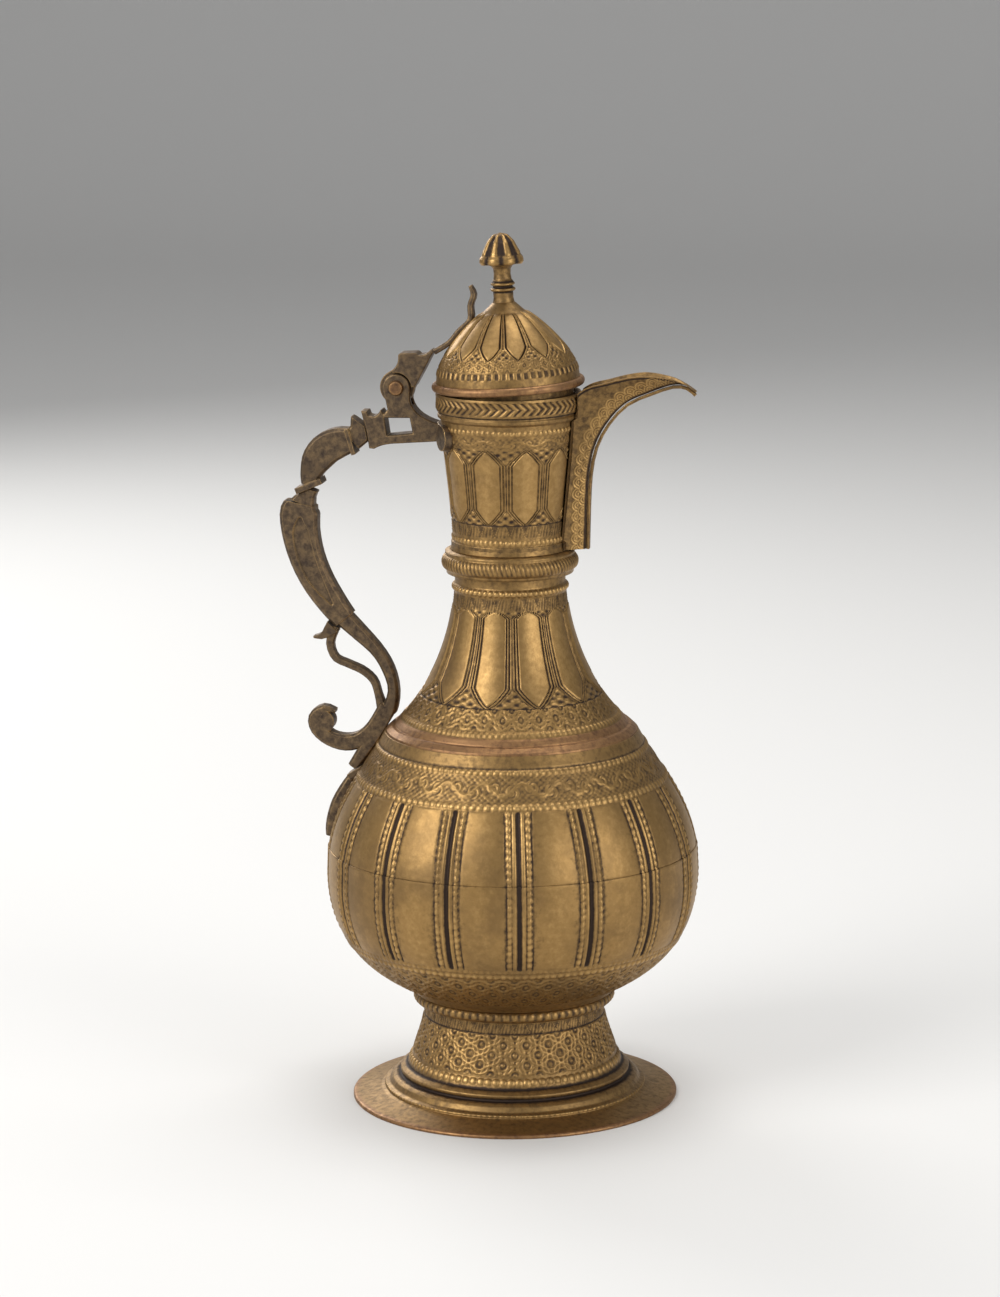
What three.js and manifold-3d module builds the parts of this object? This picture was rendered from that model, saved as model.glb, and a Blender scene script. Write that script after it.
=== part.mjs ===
// Brass ewer with a hinged domed lid, a scroll handle and an open beak spout.
// Millimetres, +Z up, standing on z = 0. The spout points along +X and the handle along -X.
// The body is a stack of turned and raised sections that share one axis, at x = bodyX.
import * as THREE from 'three';
import { mergeVertices } from 'three/addons/utils/BufferGeometryUtils.js';
import Module from 'manifold-3d';

const wasm = await Module();
wasm.setup();

// Stock and fits
const wall = 1.5;
const seatGap = 0.3;
const sheetStep = 0.12;

// Heights of the stacked body sections
const footHeight = 39.2;
const footRingHeight = 5;
const bowlHeight = 60;
const shoulderHeight = 46.6;
const shoulderRingHeight = 5.4;
const neckConeHeight = 58.8;
const collarHeight = 9.6;
const upperNeckHeight = 52.2;
const mouthHeight = 10.5;
const bellyDrop = 10.2;

// Outer radii of the body
const flangeRadius = 65.7;
const flangeThickness = 1.4;
const ledgeRadius = 52.5;
const footShoulderRadius = 41.4;
const waistRadius = 36.2;
const footRingRadius = 40.6;
const bellyRadius = 74.5;
const shoulderTopRadius = 50.8;
const neckBaseRadius = 44.5;
const neckTopRadius = 22;
const collarRadius = 27.2;
const upperNeckRadius = 22.5;
const upperNeckFlare = 4.1;
const mouthRadius = 28.7;
const mouthWall = 2.1;

// Flutes pressed into the belly
const fluteCount = 16;
const fluteDepth = 1.3;
const fluteHalfWidth = 2.4;
const fluteEndMargin = 26;
const flutePhase = 11.9;

// Spout
const spoutReach = 74.7;
const keelStandoff = 9.6;
const spoutHalfWidth = 7.2;
const cheekThickness = 1.3;
const keelThickness = 1.2;
const keelHalfWidth = 1.6;
const slotHalfWidth = 4.6;
const slotMargin = 8;

// Handle and hinge
const gripReach = 92.9;
const pinStandoff = 15.7;
const pinRise = 1.2;
const pinRadius = 2.1;
const pinHeadRadius = 3.1;
const pinHeadThickness = 1.2;
const bearingGap = 0.3;
const bracketWidth = 8.6;
const tongueThickness = 3.6;
const tongueRadius = 6.9;
const earRadius = 5.6;
const saddleThickness = 1.7;
const saddleHeight = 8.4;
const saddleHalfAngle = 31;
const roundelRadius = 5.6;
const gripWidth = 8.4;
const branchWidth = 6.6;
const rodWidth = 4.4;
const panelDepth = 0.8;
const leafWidth = 13;
const leafLength = 26;

// Lid
const lidTilt = 2.6;
const lidRimRadius = 30.3;
const lidRimHeight = 3.3;
const lidWall = 1.4;
const domeRadius = 28.3;
const domeHeight = 30.5;
const crownRadius = 4.3;
const bezelDepth = 5;
const bezelClearance = 0.9;
const strapWidth = 9;
const strapThickness = 2.2;
const tenonRadius = 1.8;
const rivetHeadRadius = 3;
const rivetHeadThickness = 1;
const roveThickness = 1;
const roveRadius = 4.8;
const finialHeight = 27.4;
const skirtRadius = 9.3;

// Facets round the large turned sections and round the small ones
const bodyFacets = 44;
const ringFacets = 36;
const smallFacets = 32;

// Levels at which the sections meet
const footRingZ = footHeight;
const bowlZ = footRingZ + footRingHeight;
const seamZ = bowlZ + bowlHeight;
const shoulderRingZ = seamZ + shoulderHeight;
const neckConeZ = shoulderRingZ + shoulderRingHeight;
const collarZ = neckConeZ + neckConeHeight;
const upperNeckZ = collarZ + collarHeight;
const mouthZ = upperNeckZ + upperNeckHeight;
const lipZ = mouthZ + mouthHeight;
const bellyZ = seamZ - bellyDrop;

// The bounding box of the whole is centred on x = 0
const bodyX = (gripReach - spoutReach) / 2;

const brass = { color: 0x8c6f3c, roughness: 0.42, metalness: 0.9 };
const darkBrass = { color: 0x5f4f38, roughness: 0.5, metalness: 0.9 };
const redBrass = { color: 0x8a5a3a, roughness: 0.42, metalness: 0.9 };

const radians = THREE.MathUtils.degToRad;
const lerp = THREE.MathUtils.lerp;
const at = ([x, y]) => new THREE.Vector2(x, y);
const onCircle = (radius, degrees) => [radius * Math.cos(radians(degrees)), radius * Math.sin(radians(degrees))];

// Smooth curve in the (radius, height) plane from four control points
const sweep = (...points) => new THREE.CubicBezierCurve(...points.map(at));

// Radius of such a curve at a given height
function radiusOn(curve, z) {
  const samples = curve.getPoints(80);
  const upper = samples.findIndex((p) => p.y >= z);
  if (upper <= 0) return samples[upper === 0 ? 0 : samples.length - 1].x;
  const [a, b] = [samples[upper - 1], samples[upper]];
  return lerp(a.x, b.x, (z - a.y) / (b.y - a.y));
}

const bowlCurve = sweep(
  [footRingRadius, bowlZ], [footRingRadius + 3, bowlZ + 5.7],
  [bellyRadius, lerp(bowlZ, bellyZ, 0.22)], [bellyRadius, bellyZ]);
const shoulderCurve = sweep(
  [bellyRadius, bellyZ], [bellyRadius, lerp(bellyZ, shoulderRingZ, 0.467)],
  [shoulderTopRadius + 8.3, shoulderRingZ - 16.3], [shoulderTopRadius, shoulderRingZ]);
const neckCurve = sweep(
  [neckBaseRadius, neckConeZ], [lerp(neckTopRadius, neckBaseRadius, 0.33), neckConeZ + 15.4],
  [neckTopRadius, lerp(neckConeZ, collarZ, 0.67)], [neckTopRadius, collarZ]);
const footCurve = sweep(
  [footShoulderRadius, 17.3], [lerp(waistRadius, footShoulderRadius, 0.3), 24.3],
  [waistRadius, lerp(24.3, footHeight, 0.4)], [waistRadius, footHeight]);
const upperNeckStart = upperNeckZ + 4.2;
const upperNeckTopRadius = upperNeckRadius + upperNeckFlare;
const upperNeckCurve = sweep(
  [upperNeckRadius, upperNeckStart], [upperNeckRadius, lerp(upperNeckStart, mouthZ, 0.3)],
  [upperNeckTopRadius - 1.1, mouthZ - 15.7], [upperNeckTopRadius, mouthZ]);

// Outer radius of the belly and of the neck at a height
const bellyRadiusAt = (z) => radiusOn(z < bellyZ ? bowlCurve : shoulderCurve, z);

// Wall measured along the radius, so that a sloping sheet keeps its true thickness
function sheetAlongRadius(radiusAt, z, thickness) {
  const slope = (radiusAt(z + sheetStep) - radiusAt(z - sheetStep)) / (2 * sheetStep);
  return thickness * Math.min(Math.hypot(1, slope), 2.4);
}

const heights = (low, high, count) =>
  Array.from({ length: count + 1 }, (_, i) => lerp(low, high, i / count));

// A turned piece. The profile is a loop of [radius, height] run anticlockwise, or a line that starts
// and ends on the axis. press(angle, index, radius, height) may push single points of it in or out,
// and spread(i) moves the facet lines round the axis.
function turned(profile, facets = ringFacets, press = null, spread = null) {
  const first = profile[0];
  const points = first[0] > 0 ? [...profile, first] : profile;
  const geometry = new THREE.LatheGeometry(points.map(at), facets);
  const position = geometry.attributes.position;
  for (let i = 0; i <= facets && (press || spread); i += 1) {
    const angle = spread ? spread(i % facets) : ((i % facets) / facets) * Math.PI * 2;
    points.forEach(([r, z], j) => {
      const index = j % profile.length;
      const radius = press ? press(angle, index, r, z) : r;
      position.setXYZ(i * points.length + j, radius * Math.sin(angle), z, radius * Math.cos(angle));
    });
  }
  geometry.rotateX(Math.PI / 2);
  return geometry;
}

// Closed geometry to manifold solid and back
function solid(geometry) {
  const bare = geometry.clone();
  bare.deleteAttribute('normal');
  bare.deleteAttribute('uv');
  const merged = mergeVertices(bare, 1e-4);
  return new wasm.Manifold(new wasm.Mesh({
    numProp: 3,
    vertProperties: merged.attributes.position.array,
    triVerts: new Uint32Array(merged.index.array),
  }));
}

function geometryOf(body) {
  const mesh = body.getMesh();
  const geometry = new THREE.BufferGeometry();
  geometry.setAttribute('position', new THREE.BufferAttribute(mesh.vertProperties, 3));
  geometry.setIndex(new THREE.BufferAttribute(mesh.triVerts, 1));
  geometry.computeVertexNormals();
  return geometry;
}

const cut = (body, ...tools) => tools.reduce((left, tool) => left.subtract(tool), body);
const join = (body, ...others) => others.reduce((left, other) => left.add(other), body);

// Plate with an outline in the XZ plane, centred on y = 0
function plate(shape, width, bevel = 0, curveSegments = 8) {
  const geometry = new THREE.ExtrudeGeometry(shape, {
    depth: width - 2 * bevel,
    bevelEnabled: bevel > 0,
    bevelThickness: bevel,
    bevelSize: bevel,
    bevelOffset: -bevel,
    bevelSegments: 1,
    curveSegments,
  });
  geometry.translate(0, 0, -(width - 2 * bevel) / 2);
  geometry.rotateX(Math.PI / 2);
  return solid(geometry);
}

function block(x0, x1, width, z0, z1) {
  const geometry = new THREE.BoxGeometry(x1 - x0, width, z1 - z0);
  geometry.translate((x0 + x1) / 2, 0, (z0 + z1) / 2);
  return solid(geometry);
}

// Round bar across the handle, along Y
function crossBar(x, z, radius, length, facets = smallFacets) {
  const geometry = new THREE.CylinderGeometry(radius, radius, length, facets);
  geometry.translate(x, 0, z);
  return solid(geometry);
}

// A bar in the XZ plane that follows a smooth line through its stations. Each station is
// [x, z, thickness in the plane, width along Y]. The section is a rectangle with cut corners.
function sweptBar(stations, steps, chamfer = 0.9) {
  const line = new THREE.SplineCurve(stations.map(([x, z]) => new THREE.Vector2(x, z)));
  const sizes = new THREE.SplineCurve(stations.map(([, , t, w]) => new THREE.Vector2(t, w)));
  const corners = (t, w, c) => [
    [t - c, -w], [t, c - w], [t, w - c], [t - c, w],
    [c - t, w], [-t, w - c], [-t, c - w], [c - t, -w],
  ];
  const vertices = [];
  for (let i = 0; i <= steps; i += 1) {
    const middle = line.getPoint(i / steps);
    const along = line.getTangent(i / steps);
    const size = sizes.getPoint(i / steps);
    const c = Math.min(chamfer, size.x / 4, size.y / 4);
    corners(size.x / 2, size.y / 2, c).forEach(([t, w]) => {
      vertices.push(middle.x + along.y * t, w, middle.y - along.x * t);
    });
  }
  const faces = [];
  for (let i = 0; i < steps; i += 1) {
    for (let j = 0; j < 8; j += 1) {
      const [a, b] = [i * 8 + j, i * 8 + ((j + 1) % 8)];
      faces.push(a, b, b + 8, a, b + 8, a + 8);
    }
  }
  for (let j = 1; j < 7; j += 1) {
    faces.push(0, j + 1, j, steps * 8, steps * 8 + j, steps * 8 + j + 1);
  }
  const geometry = new THREE.BufferGeometry();
  geometry.setAttribute('position', new THREE.BufferAttribute(new Float32Array(vertices), 3));
  geometry.setIndex(faces);
  return solid(geometry);
}

// Solids of the body and the dome, grown by the seat gap, that conforming pieces are cut to
function seatOf(profile, facets = bodyFacets) {
  const grown = profile.map(([r, z]) => [r + seatGap, z]);
  const ends = [[0, profile[0][1]], ...grown, [0, profile.at(-1)[1]]];
  return solid(turned(ends, facets));
}

const neckSeat = seatOf([
  [collarRadius, collarZ], [collarRadius, upperNeckZ],
  ...heights(upperNeckStart, mouthZ, 8).map((z) => [radiusOn(upperNeckCurve, z), z]),
  [upperNeckTopRadius + 0.4, mouthZ - 0.2], [mouthRadius - 0.3, mouthZ + 0.8],
  [mouthRadius, mouthZ + 4.6], [mouthRadius + 0.2, lipZ], [mouthRadius + 0.2, lipZ + 12],
]);
const bellySeat = seatOf([
  ...heights(bowlZ, shoulderRingZ, 26).map((z) => [bellyRadiusAt(z), z]),
  [neckBaseRadius + 3, neckConeZ], [neckBaseRadius, neckConeZ + 0.5],
]);

// Body sections, from the floor up

function foot() {
  const inner = (z) => radiusOn(footCurve, z) - wall;
  const top = 17.3;
  return turned([
    [flangeRadius - 5, 0], [flangeRadius, 0], [flangeRadius, flangeThickness * 0.7],
    [flangeRadius - 0.6, flangeThickness], [ledgeRadius + 1.4, 3.7], [ledgeRadius, 5.3],
    [ledgeRadius - 1.8, 6], [ledgeRadius - 2.9, 8.1], [ledgeRadius - 4.2, 9],
    [ledgeRadius - 6.3, 9.9], [ledgeRadius - 6.2, 11.6], [ledgeRadius - 8.2, 13.2],
    [footShoulderRadius + 1.7, 14.5], [footShoulderRadius, top],
    ...heights(top + 3, footHeight, 4).map((z) => [radiusOn(footCurve, z), z]),
    [waistRadius - wall, footHeight],
    ...heights(top, footHeight - 4, 3).reverse().map((z) => [inner(z), z]),
    [footShoulderRadius - 0.4, 12.6], [ledgeRadius - 8.6, 8.2], [ledgeRadius - 1.6, 3],
  ]);
}

function footRing() {
  const middle = footRingZ + footRingHeight / 2;
  const bore = waistRadius - 3;
  return turned([
    [bore, footRingZ], [waistRadius + 1.6, footRingZ], [waistRadius + 2.2, footRingZ + 0.7],
    [footRingRadius - 0.5, footRingZ + 1.2], [footRingRadius, middle],
    [footRingRadius - 0.4, bowlZ - 1], [footRingRadius - 1, bowlZ], [bore, bowlZ],
  ]);
}

// Facet lines gather at each flute: one down its middle and one on each edge
const flutePitch = 360 / fluteCount;
const fluteLines = [0, fluteHalfWidth, flutePitch / 2, flutePitch - fluteHalfWidth];
const fluteSpread = (i) =>
  radians(flutePhase + Math.floor(i / fluteLines.length) * flutePitch + fluteLines[i % fluteLines.length]);
const fluteFacets = fluteCount * fluteLines.length;

// Depth of a flute at a height: full on the belly, none above and below it
function flutePress(outerCount) {
  const low = bowlZ + fluteEndMargin;
  const high = shoulderRingZ - fluteEndMargin + 4;
  return (angle, index, r, z) => {
    const turns = (THREE.MathUtils.radToDeg(angle) - flutePhase) / flutePitch;
    const inFlute = Math.abs(turns - Math.round(turns)) < 1e-6;
    return index < outerCount && inFlute && z > low && z < high ? r - fluteDepth : r;
  };
}

function lowerBowl() {
  const outer = [[footRingRadius - 1, bowlZ], ...heights(bowlZ + 0.8, bowlZ + fluteEndMargin, 4)
    .map((z) => [bellyRadiusAt(z), z]),
  ...heights(bowlZ + fluteEndMargin + 0.8, seamZ, 3).map((z) => [bellyRadiusAt(z), z])];
  const inner = heights(bowlZ + 6, seamZ, 4).reverse().map((z) =>
    [bellyRadiusAt(z) - sheetAlongRadius(bellyRadiusAt, z, wall), z]);
  const profile = [[0, bowlZ], ...outer, ...inner, [footRingRadius - 2, bowlZ + 2], [0, bowlZ + wall]];
  return turned(profile, fluteFacets, flutePress(outer.length + 1), fluteSpread);
}

function shoulderShell() {
  const fluteTop = shoulderRingZ - fluteEndMargin + 4;
  const outer = [...heights(seamZ, fluteTop - 0.8, 3), ...heights(fluteTop, shoulderRingZ, 4)]
    .map((z) => [bellyRadiusAt(z), z]);
  const inner = heights(seamZ, shoulderRingZ, 4).reverse().map((z) =>
    [bellyRadiusAt(z) - sheetAlongRadius(bellyRadiusAt, z, wall), z]);
  return turned([...outer, ...inner], fluteFacets, flutePress(outer.length), fluteSpread);
}

function shoulderRing() {
  const bore = neckBaseRadius - 2.6;
  return turned([
    [bore, shoulderRingZ], [shoulderTopRadius - 0.6, shoulderRingZ],
    [shoulderTopRadius - 0.9, shoulderRingZ + 0.8], [lerp(shoulderTopRadius, neckBaseRadius, 0.45),
      shoulderRingZ + 2.7], [lerp(shoulderTopRadius, neckBaseRadius, 0.65), shoulderRingZ + 3.2],
    [neckBaseRadius + 0.9, neckConeZ - 0.6], [neckBaseRadius + 0.3, neckConeZ], [bore, neckConeZ],
  ]);
}

function neckCone() {
  const radiusAt = (z) => radiusOn(neckCurve, z);
  const outer = heights(neckConeZ, collarZ - 9, 8).map((z) => [radiusAt(z), z]);
  const inner = heights(neckConeZ, collarZ, 6).reverse().map((z) =>
    [radiusAt(z) - sheetAlongRadius(radiusAt, z, wall), z]);
  return turned([
    ...outer, [neckTopRadius + 0.9, collarZ - 6.4], [neckTopRadius + 0.9, collarZ - 4.2],
    [neckTopRadius, collarZ - 3.8], [neckTopRadius, collarZ], ...inner,
  ]);
}

function neckCollar() {
  const middle = collarZ + collarHeight * 0.52;
  const bore = neckTopRadius - wall;
  const bulge = heights(-60, 60, 6).map((a) => [
    collarRadius - 3.2 + 3.2 * Math.cos(radians(a)), middle + 3.4 * Math.sin(radians(a))]);
  return turned([
    [bore, collarZ], [neckTopRadius + 1.4, collarZ], [collarRadius - 1.8, collarZ + 0.9],
    ...bulge, [collarRadius - 1.3, upperNeckZ - 0.9], [upperNeckRadius + 1.3, upperNeckZ],
    [bore, upperNeckZ],
  ]);
}

// The upper neck tube, open behind the spout so that it can pour
function upperNeck() {
  const radiusAt = (z) => radiusOn(upperNeckCurve, z);
  const inner = heights(upperNeckStart, mouthZ, 3).reverse().map((z) => [radiusAt(z) - wall, z]);
  const tube = turned([
    [upperNeckRadius + 0.8, upperNeckZ], [upperNeckRadius + 0.8, upperNeckStart - 0.6],
    ...heights(upperNeckStart, mouthZ, 6).map((z) => [radiusAt(z), z]),
    ...inner, [upperNeckRadius - wall, upperNeckZ],
  ]);
  const window = block(
    upperNeckRadius / 2, mouthRadius * 2, slotHalfWidth * 2, upperNeckStart + slotMargin, mouthZ - slotMargin / 2);
  return geometryOf(cut(solid(tube), window));
}

function mouthBand() {
  const bore = mouthRadius - mouthWall;
  return turned([
    [upperNeckTopRadius - wall, mouthZ], [upperNeckTopRadius + 0.4, mouthZ],
    [mouthRadius - 0.5, mouthZ + 1.1], [mouthRadius - 0.5, mouthZ + 2.2],
    [mouthRadius - 0.9, mouthZ + 2.6], [mouthRadius - 0.2, mouthZ + 3.4], [mouthRadius, mouthZ + 4.6],
    [mouthRadius - 0.2, lipZ - 1.6], [mouthRadius + 0.2, lipZ - 0.9], [mouthRadius, lipZ],
    [bore, lipZ], [bore, mouthZ + 2.4],
  ]);
}

// Spout: two cheeks that lean together at the keel, and a strip that closes them along it.
// Both lines run from the collar to the tip: [share of the reach, share of the height].
const keelX = upperNeckRadius + keelStandoff;
const spoutPoint = ([out, up]) => new THREE.Vector2(
  lerp(keelX, spoutReach, out), lerp(upperNeckZ + seatGap, lipZ, up));
const keelLine = new THREE.SplineCurve([
  [0, 0], [0.012, 0.27], [0.03, 0.47], [0.083, 0.645], [0.2, 0.795],
  [0.37, 0.917], [0.588, 0.985], [0.79, 1.032], [0.91, 1.024], [0.985, 0.982],
].map(spoutPoint));
const rimLine = new THREE.SplineCurve([
  [-0.32, 0], [-0.32, 0.27], [-0.32, 0.5], [-0.32, 0.73], [-0.09, 1.0],
  [0.2, 1.077], [0.49, 1.117], [0.75, 1.1], [0.9, 1.06], [1, 1.014],
].map(spoutPoint));

function spoutCheek(side) {
  const steps = 14;
  const vertices = [];
  for (let i = 0; i <= steps; i += 1) {
    const keel = keelLine.getPoint(i / steps);
    const rim = rimLine.getPoint(i / steps);
    const inward = rim.clone().sub(keel).normalize();
    const depth = rim.distanceTo(keel);
    const along = keelLine.getTangent(i / steps);
    const lean = Math.max(0.5, inward.y * along.x - inward.x * along.y);
    const root = keel.clone().addScaledVector(inward, (keelThickness + seatGap) / lean);
    const narrow = lerp(keelHalfWidth, keelHalfWidth * 0.6, i / steps);
    const wide = Math.min(spoutHalfWidth, narrow + 0.68 * depth);
    const inside = (y) => Math.max(y - cheekThickness, seatGap / 2);
    [[root, narrow], [rim, wide], [rim, inside(wide)], [root, inside(narrow)]].forEach(([p, y]) => {
      vertices.push(p.x, side * y, p.y);
    });
  }
  const faces = [];
  const face = (a, b, c) => faces.push(...(side > 0 ? [a, b, c] : [a, c, b]));
  for (let i = 0; i < steps; i += 1) {
    for (let j = 0; j < 4; j += 1) {
      const [a, b] = [i * 4 + j, i * 4 + ((j + 1) % 4)];
      face(a, b, b + 4);
      face(a, b + 4, a + 4);
    }
  }
  for (let j = 1; j < 3; j += 1) {
    face(0, j + 1, j);
    face(steps * 4, steps * 4 + j, steps * 4 + j + 1);
  }
  const geometry = new THREE.BufferGeometry();
  geometry.setAttribute('position', new THREE.BufferAttribute(new Float32Array(vertices), 3));
  geometry.setIndex(faces);
  return geometryOf(cut(solid(geometry), neckSeat));
}

function spoutKeel() {
  const count = 19;
  const stations = Array.from({ length: count }, (_, i) => {
    const share = i / (count - 1);
    const point = keelLine.getPoint(share);
    const along = keelLine.getTangent(share);
    return [
      point.x - along.y * keelThickness / 2, point.y + along.x * keelThickness / 2,
      keelThickness, lerp(keelHalfWidth, keelHalfWidth * 0.6, share) * 2];
  });
  return geometryOf(cut(sweptBar(stations, 18, 0.2), neckSeat));
}

// Hinge pin, about which the lid turns. Handle points are given from here.
const pinX = -(mouthRadius + pinStandoff);
const pinZ = lipZ + pinRise;
const slotWidth = tongueThickness + 2 * bearingGap;

// Casting that carries the hinge: saddle on the neck, square window, two ears and the first collar
function handleBracket() {
  const outline = new THREE.Shape();
  const neckX = -upperNeckTopRadius + 2 - pinX;
  outline.moveTo(neckX, -20.9);
  outline.lineTo(neckX, -14.6);
  outline.quadraticCurveTo(7.2, -12.2, 5.6, -5);
  outline.lineTo(earRadius, 0);
  outline.absarc(0, 0, earRadius, 0, Math.PI, false);
  outline.lineTo(-4.2, -5.6);
  outline.lineTo(-3.6, -8.6);
  outline.lineTo(-5.2, -10.4);
  outline.lineTo(-6.4, -8.8);
  outline.quadraticCurveTo(-8.4, -12.4, -11.4, -11.2);
  outline.lineTo(-12.1, -9.4);
  outline.lineTo(-14.3, -9.4);
  outline.lineTo(-12.2, -18.2);
  outline.lineTo(-11.2, -24.3);
  outline.lineTo(-9.2, -24.5);
  outline.quadraticCurveTo(-6, -22.4, 0, -22.2);
  const window = new THREE.Path();
  window.moveTo(-4.9, -12);
  window.lineTo(-3.9, -19);
  window.lineTo(6.4, -17.9);
  window.lineTo(5.3, -11.9);
  outline.holes.push(window);
  const casting = plate(outline, bracketWidth, 0.5).translate([pinX, 0, pinZ]);
  const slot = block(pinX - 12, pinX + 12, slotWidth, pinZ - tongueRadius - bearingGap, pinZ + 12);
  const bore = crossBar(pinX, pinZ, pinRadius + bearingGap, bracketWidth * 2);
  return geometryOf(cut(join(casting, ...saddle()), slot, bore, neckSeat));
}

// Saddle band round the back of the neck, with a roundel at each end
function saddle() {
  const middleZ = pinZ - 17.6;
  const radius = radiusOn(upperNeckCurve, middleZ);
  const half = radians(saddleHalfAngle);
  const sector = new THREE.Shape();
  sector.absarc(0, 0, radius + seatGap + saddleThickness, Math.PI - half, Math.PI + half, false);
  sector.absarc(0, 0, radius - 1, Math.PI + half, Math.PI - half, true);
  const band = new THREE.ExtrudeGeometry(sector, {
    depth: saddleHeight, bevelEnabled: false, curveSegments: 12 });
  band.translate(0, 0, middleZ - saddleHeight / 2);
  const roundels = [-1, 1].map((side) => {
    const disc = new THREE.CylinderGeometry(roundelRadius - 0.6, roundelRadius, 3.4, 20);
    disc.rotateZ(Math.PI / 2);
    disc.translate(-(radius + saddleThickness - 0.6), 0, 0);
    disc.rotateZ(side * half);
    disc.translate(0, 0, middleZ - 0.6);
    return solid(disc);
  });
  return [solid(band), ...roundels];
}

// The handle line below the bracket: x as a share between the belly seat and the grip's outer
// reach, z as a share between the belly seat and the hinge pin.
const leafTopZ = shoulderRingZ - 20;
const leafTopX = bellyRadiusAt(leafTopZ);
const handlePoint = (out, up, thickness, width) =>
  [-lerp(leafTopX, gripReach, out), lerp(leafTopZ, pinZ, up), thickness, width];
// Collar plate square to the handle line at a point
function collarPlate(x, z, angle, length, thickness, width) {
  const geometry = new THREE.BoxGeometry(length, width, thickness);
  geometry.rotateY(radians(-angle));
  geometry.translate(x, 0, z);
  return solid(geometry);
}

function handleUpper() {
  const rise = (dx, dz, thickness, width) => [pinX + dx, pinZ + dz, thickness, width];
  const root = sweptBar([
    rise(-12.9 - seatGap, -15.4, 13, gripWidth - 0.6), rise(-15.4, -18.6, 9.4, gripWidth - 1.4),
    rise(-18.4, -21.2, 9.2, gripWidth - 1)], 4);
  const arch = sweptBar([
    rise(-18.6, -21.4, 9.6, gripWidth), rise(-24, -22.6, 12.2, gripWidth),
    rise(-29, -25, 13, gripWidth), rise(-33, -29.6, 12, gripWidth),
    rise(-35.4, -35, 8.6, gripWidth - 0.6), rise(-35.9, -39.6, 6.8, gripWidth - 1)], 14, 1.2);
  const innerCollar = collarPlate(pinX - 19, pinZ - 21.8, 106, 10.6, 1.6, gripWidth + 1.2);
  const lowerCollar = collarPlate(pinX - 36.1, pinZ - 39.9, 22, 11.2, 2.3, gripWidth + 1.6);
  const bracketSide = plate(new THREE.Shape([
    at([-14.3 - seatGap, 0]), at([-14.3 - seatGap, -9.4]), at([-12.2 - seatGap, -18.2]),
    at([-11.2 - seatGap, -24.3]), at([-10, -40]), at([10, -40]), at([10, 0]),
  ]), 40).translate([pinX, 0, pinZ]);
  return geometryOf(cut(join(root, arch, innerCollar, lowerCollar), bracketSide));
}

// Lower grip with its sunk panels, the S-shaped branch, the serpentine rod, the spur and the volute
function handleLower() {
  const point = (x, z, thickness, width) => handlePoint(
    (-x - 63.1) / 29.8, (z - 130.8) / 157.7, thickness, width);
  const waist = sweptBar([
    point(-80.9, 247.4, 7.6, gripWidth - 1.6), point(-81.9, 244.8, 7.2, gripWidth - 2),
    point(-83.4, 241.2, 10, gripWidth - 0.4)], 4);
  const grip = sweptBar([
    point(-84.2, 241.4, 12.4, gripWidth), point(-85, 237.5, 15.4, gripWidth),
    point(-84.6, 229, 14.6, gripWidth), point(-82.2, 219, 13.4, gripWidth),
    point(-77.9, 209.4, 12.2, gripWidth), point(-72, 200.4, 10.8, gripWidth - 0.6),
    point(-67.2, 194.4, 9.4, branchWidth + 0.6)], 16, 1.3);
  const branch = sweptBar([
    point(-69, 196.2, 7.6, branchWidth), point(-62, 189.6, 6.4, branchWidth),
    point(-54.4, 182, 5, branchWidth), point(-49.9, 174.6, 4.8, branchWidth),
    point(-47.7, 166.4, 4.4, branchWidth), point(-49.2, 158.6, 5.8, branchWidth),
    point(-53.2, 151, 6.4, branchWidth), point(-58, 143.6, 6, branchWidth),
    point(-62.2, 137.4, 5.2, branchWidth), point(-64.6, 133.9, 4.6, branchWidth)], 24, 1.1);
  const rod = sweptBar([
    point(-71.4, 191.4, 4.4, rodWidth), point(-73.4, 184.6, 3.3, rodWidth),
    point(-71.4, 178.6, 3, rodWidth), point(-66, 176, 3, rodWidth),
    point(-60.2, 173.4, 3, rodWidth), point(-55.8, 169.4, 3, rodWidth),
    point(-54, 163.8, 3, rodWidth), point(-52.6, 158.4, 4.2, rodWidth)], 20, 0.7);
  const scroll = sweptBar([
    point(-51, 159.4, 5.4, branchWidth), point(-55.4, 150.8, 6.6, branchWidth),
    point(-61, 145.4, 6.6, branchWidth), point(-67.6, 143.8, 6.6, branchWidth),
    point(-74, 145.4, 6.2, branchWidth), point(-78.6, 149.4, 6.6, branchWidth),
    point(-79.6, 154, 6, branchWidth), point(-76.4, 157.4, 3.4, branchWidth),
    point(-71.6, 156.6, 1.4, branchWidth - 1)], 24, 0.9);
  const spur = sweptBar([
    point(-72, 191.4, 6, branchWidth), point(-76, 187.6, 2.8, branchWidth - 1),
    point(-80, 186.9, 0.9, branchWidth - 2)], 5, 0.3);
  const [bulbX, bulbZ] = point(-76.6, 152.4);
  const bulb = crossBar(bulbX, bulbZ, 4.6, branchWidth);
  const panel = [-1, 1].map((side) => sweptBar([
    point(-84.2, 236, 1, 2 * panelDepth), point(-84.2, 230, 6.4, 2 * panelDepth),
    point(-82, 219.4, 7, 2 * panelDepth), point(-77.8, 209.8, 5.6, 2 * panelDepth),
    point(-71.6, 200.6, 1, 2 * panelDepth)], 12, 0).translate([0, side * gripWidth / 2, 0]));
  const whole = join(waist, grip, branch, rod, scroll, spur, bulb);
  return geometryOf(cut(whole, ...panel, bellySeat, ...endCuts()));
}

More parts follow.
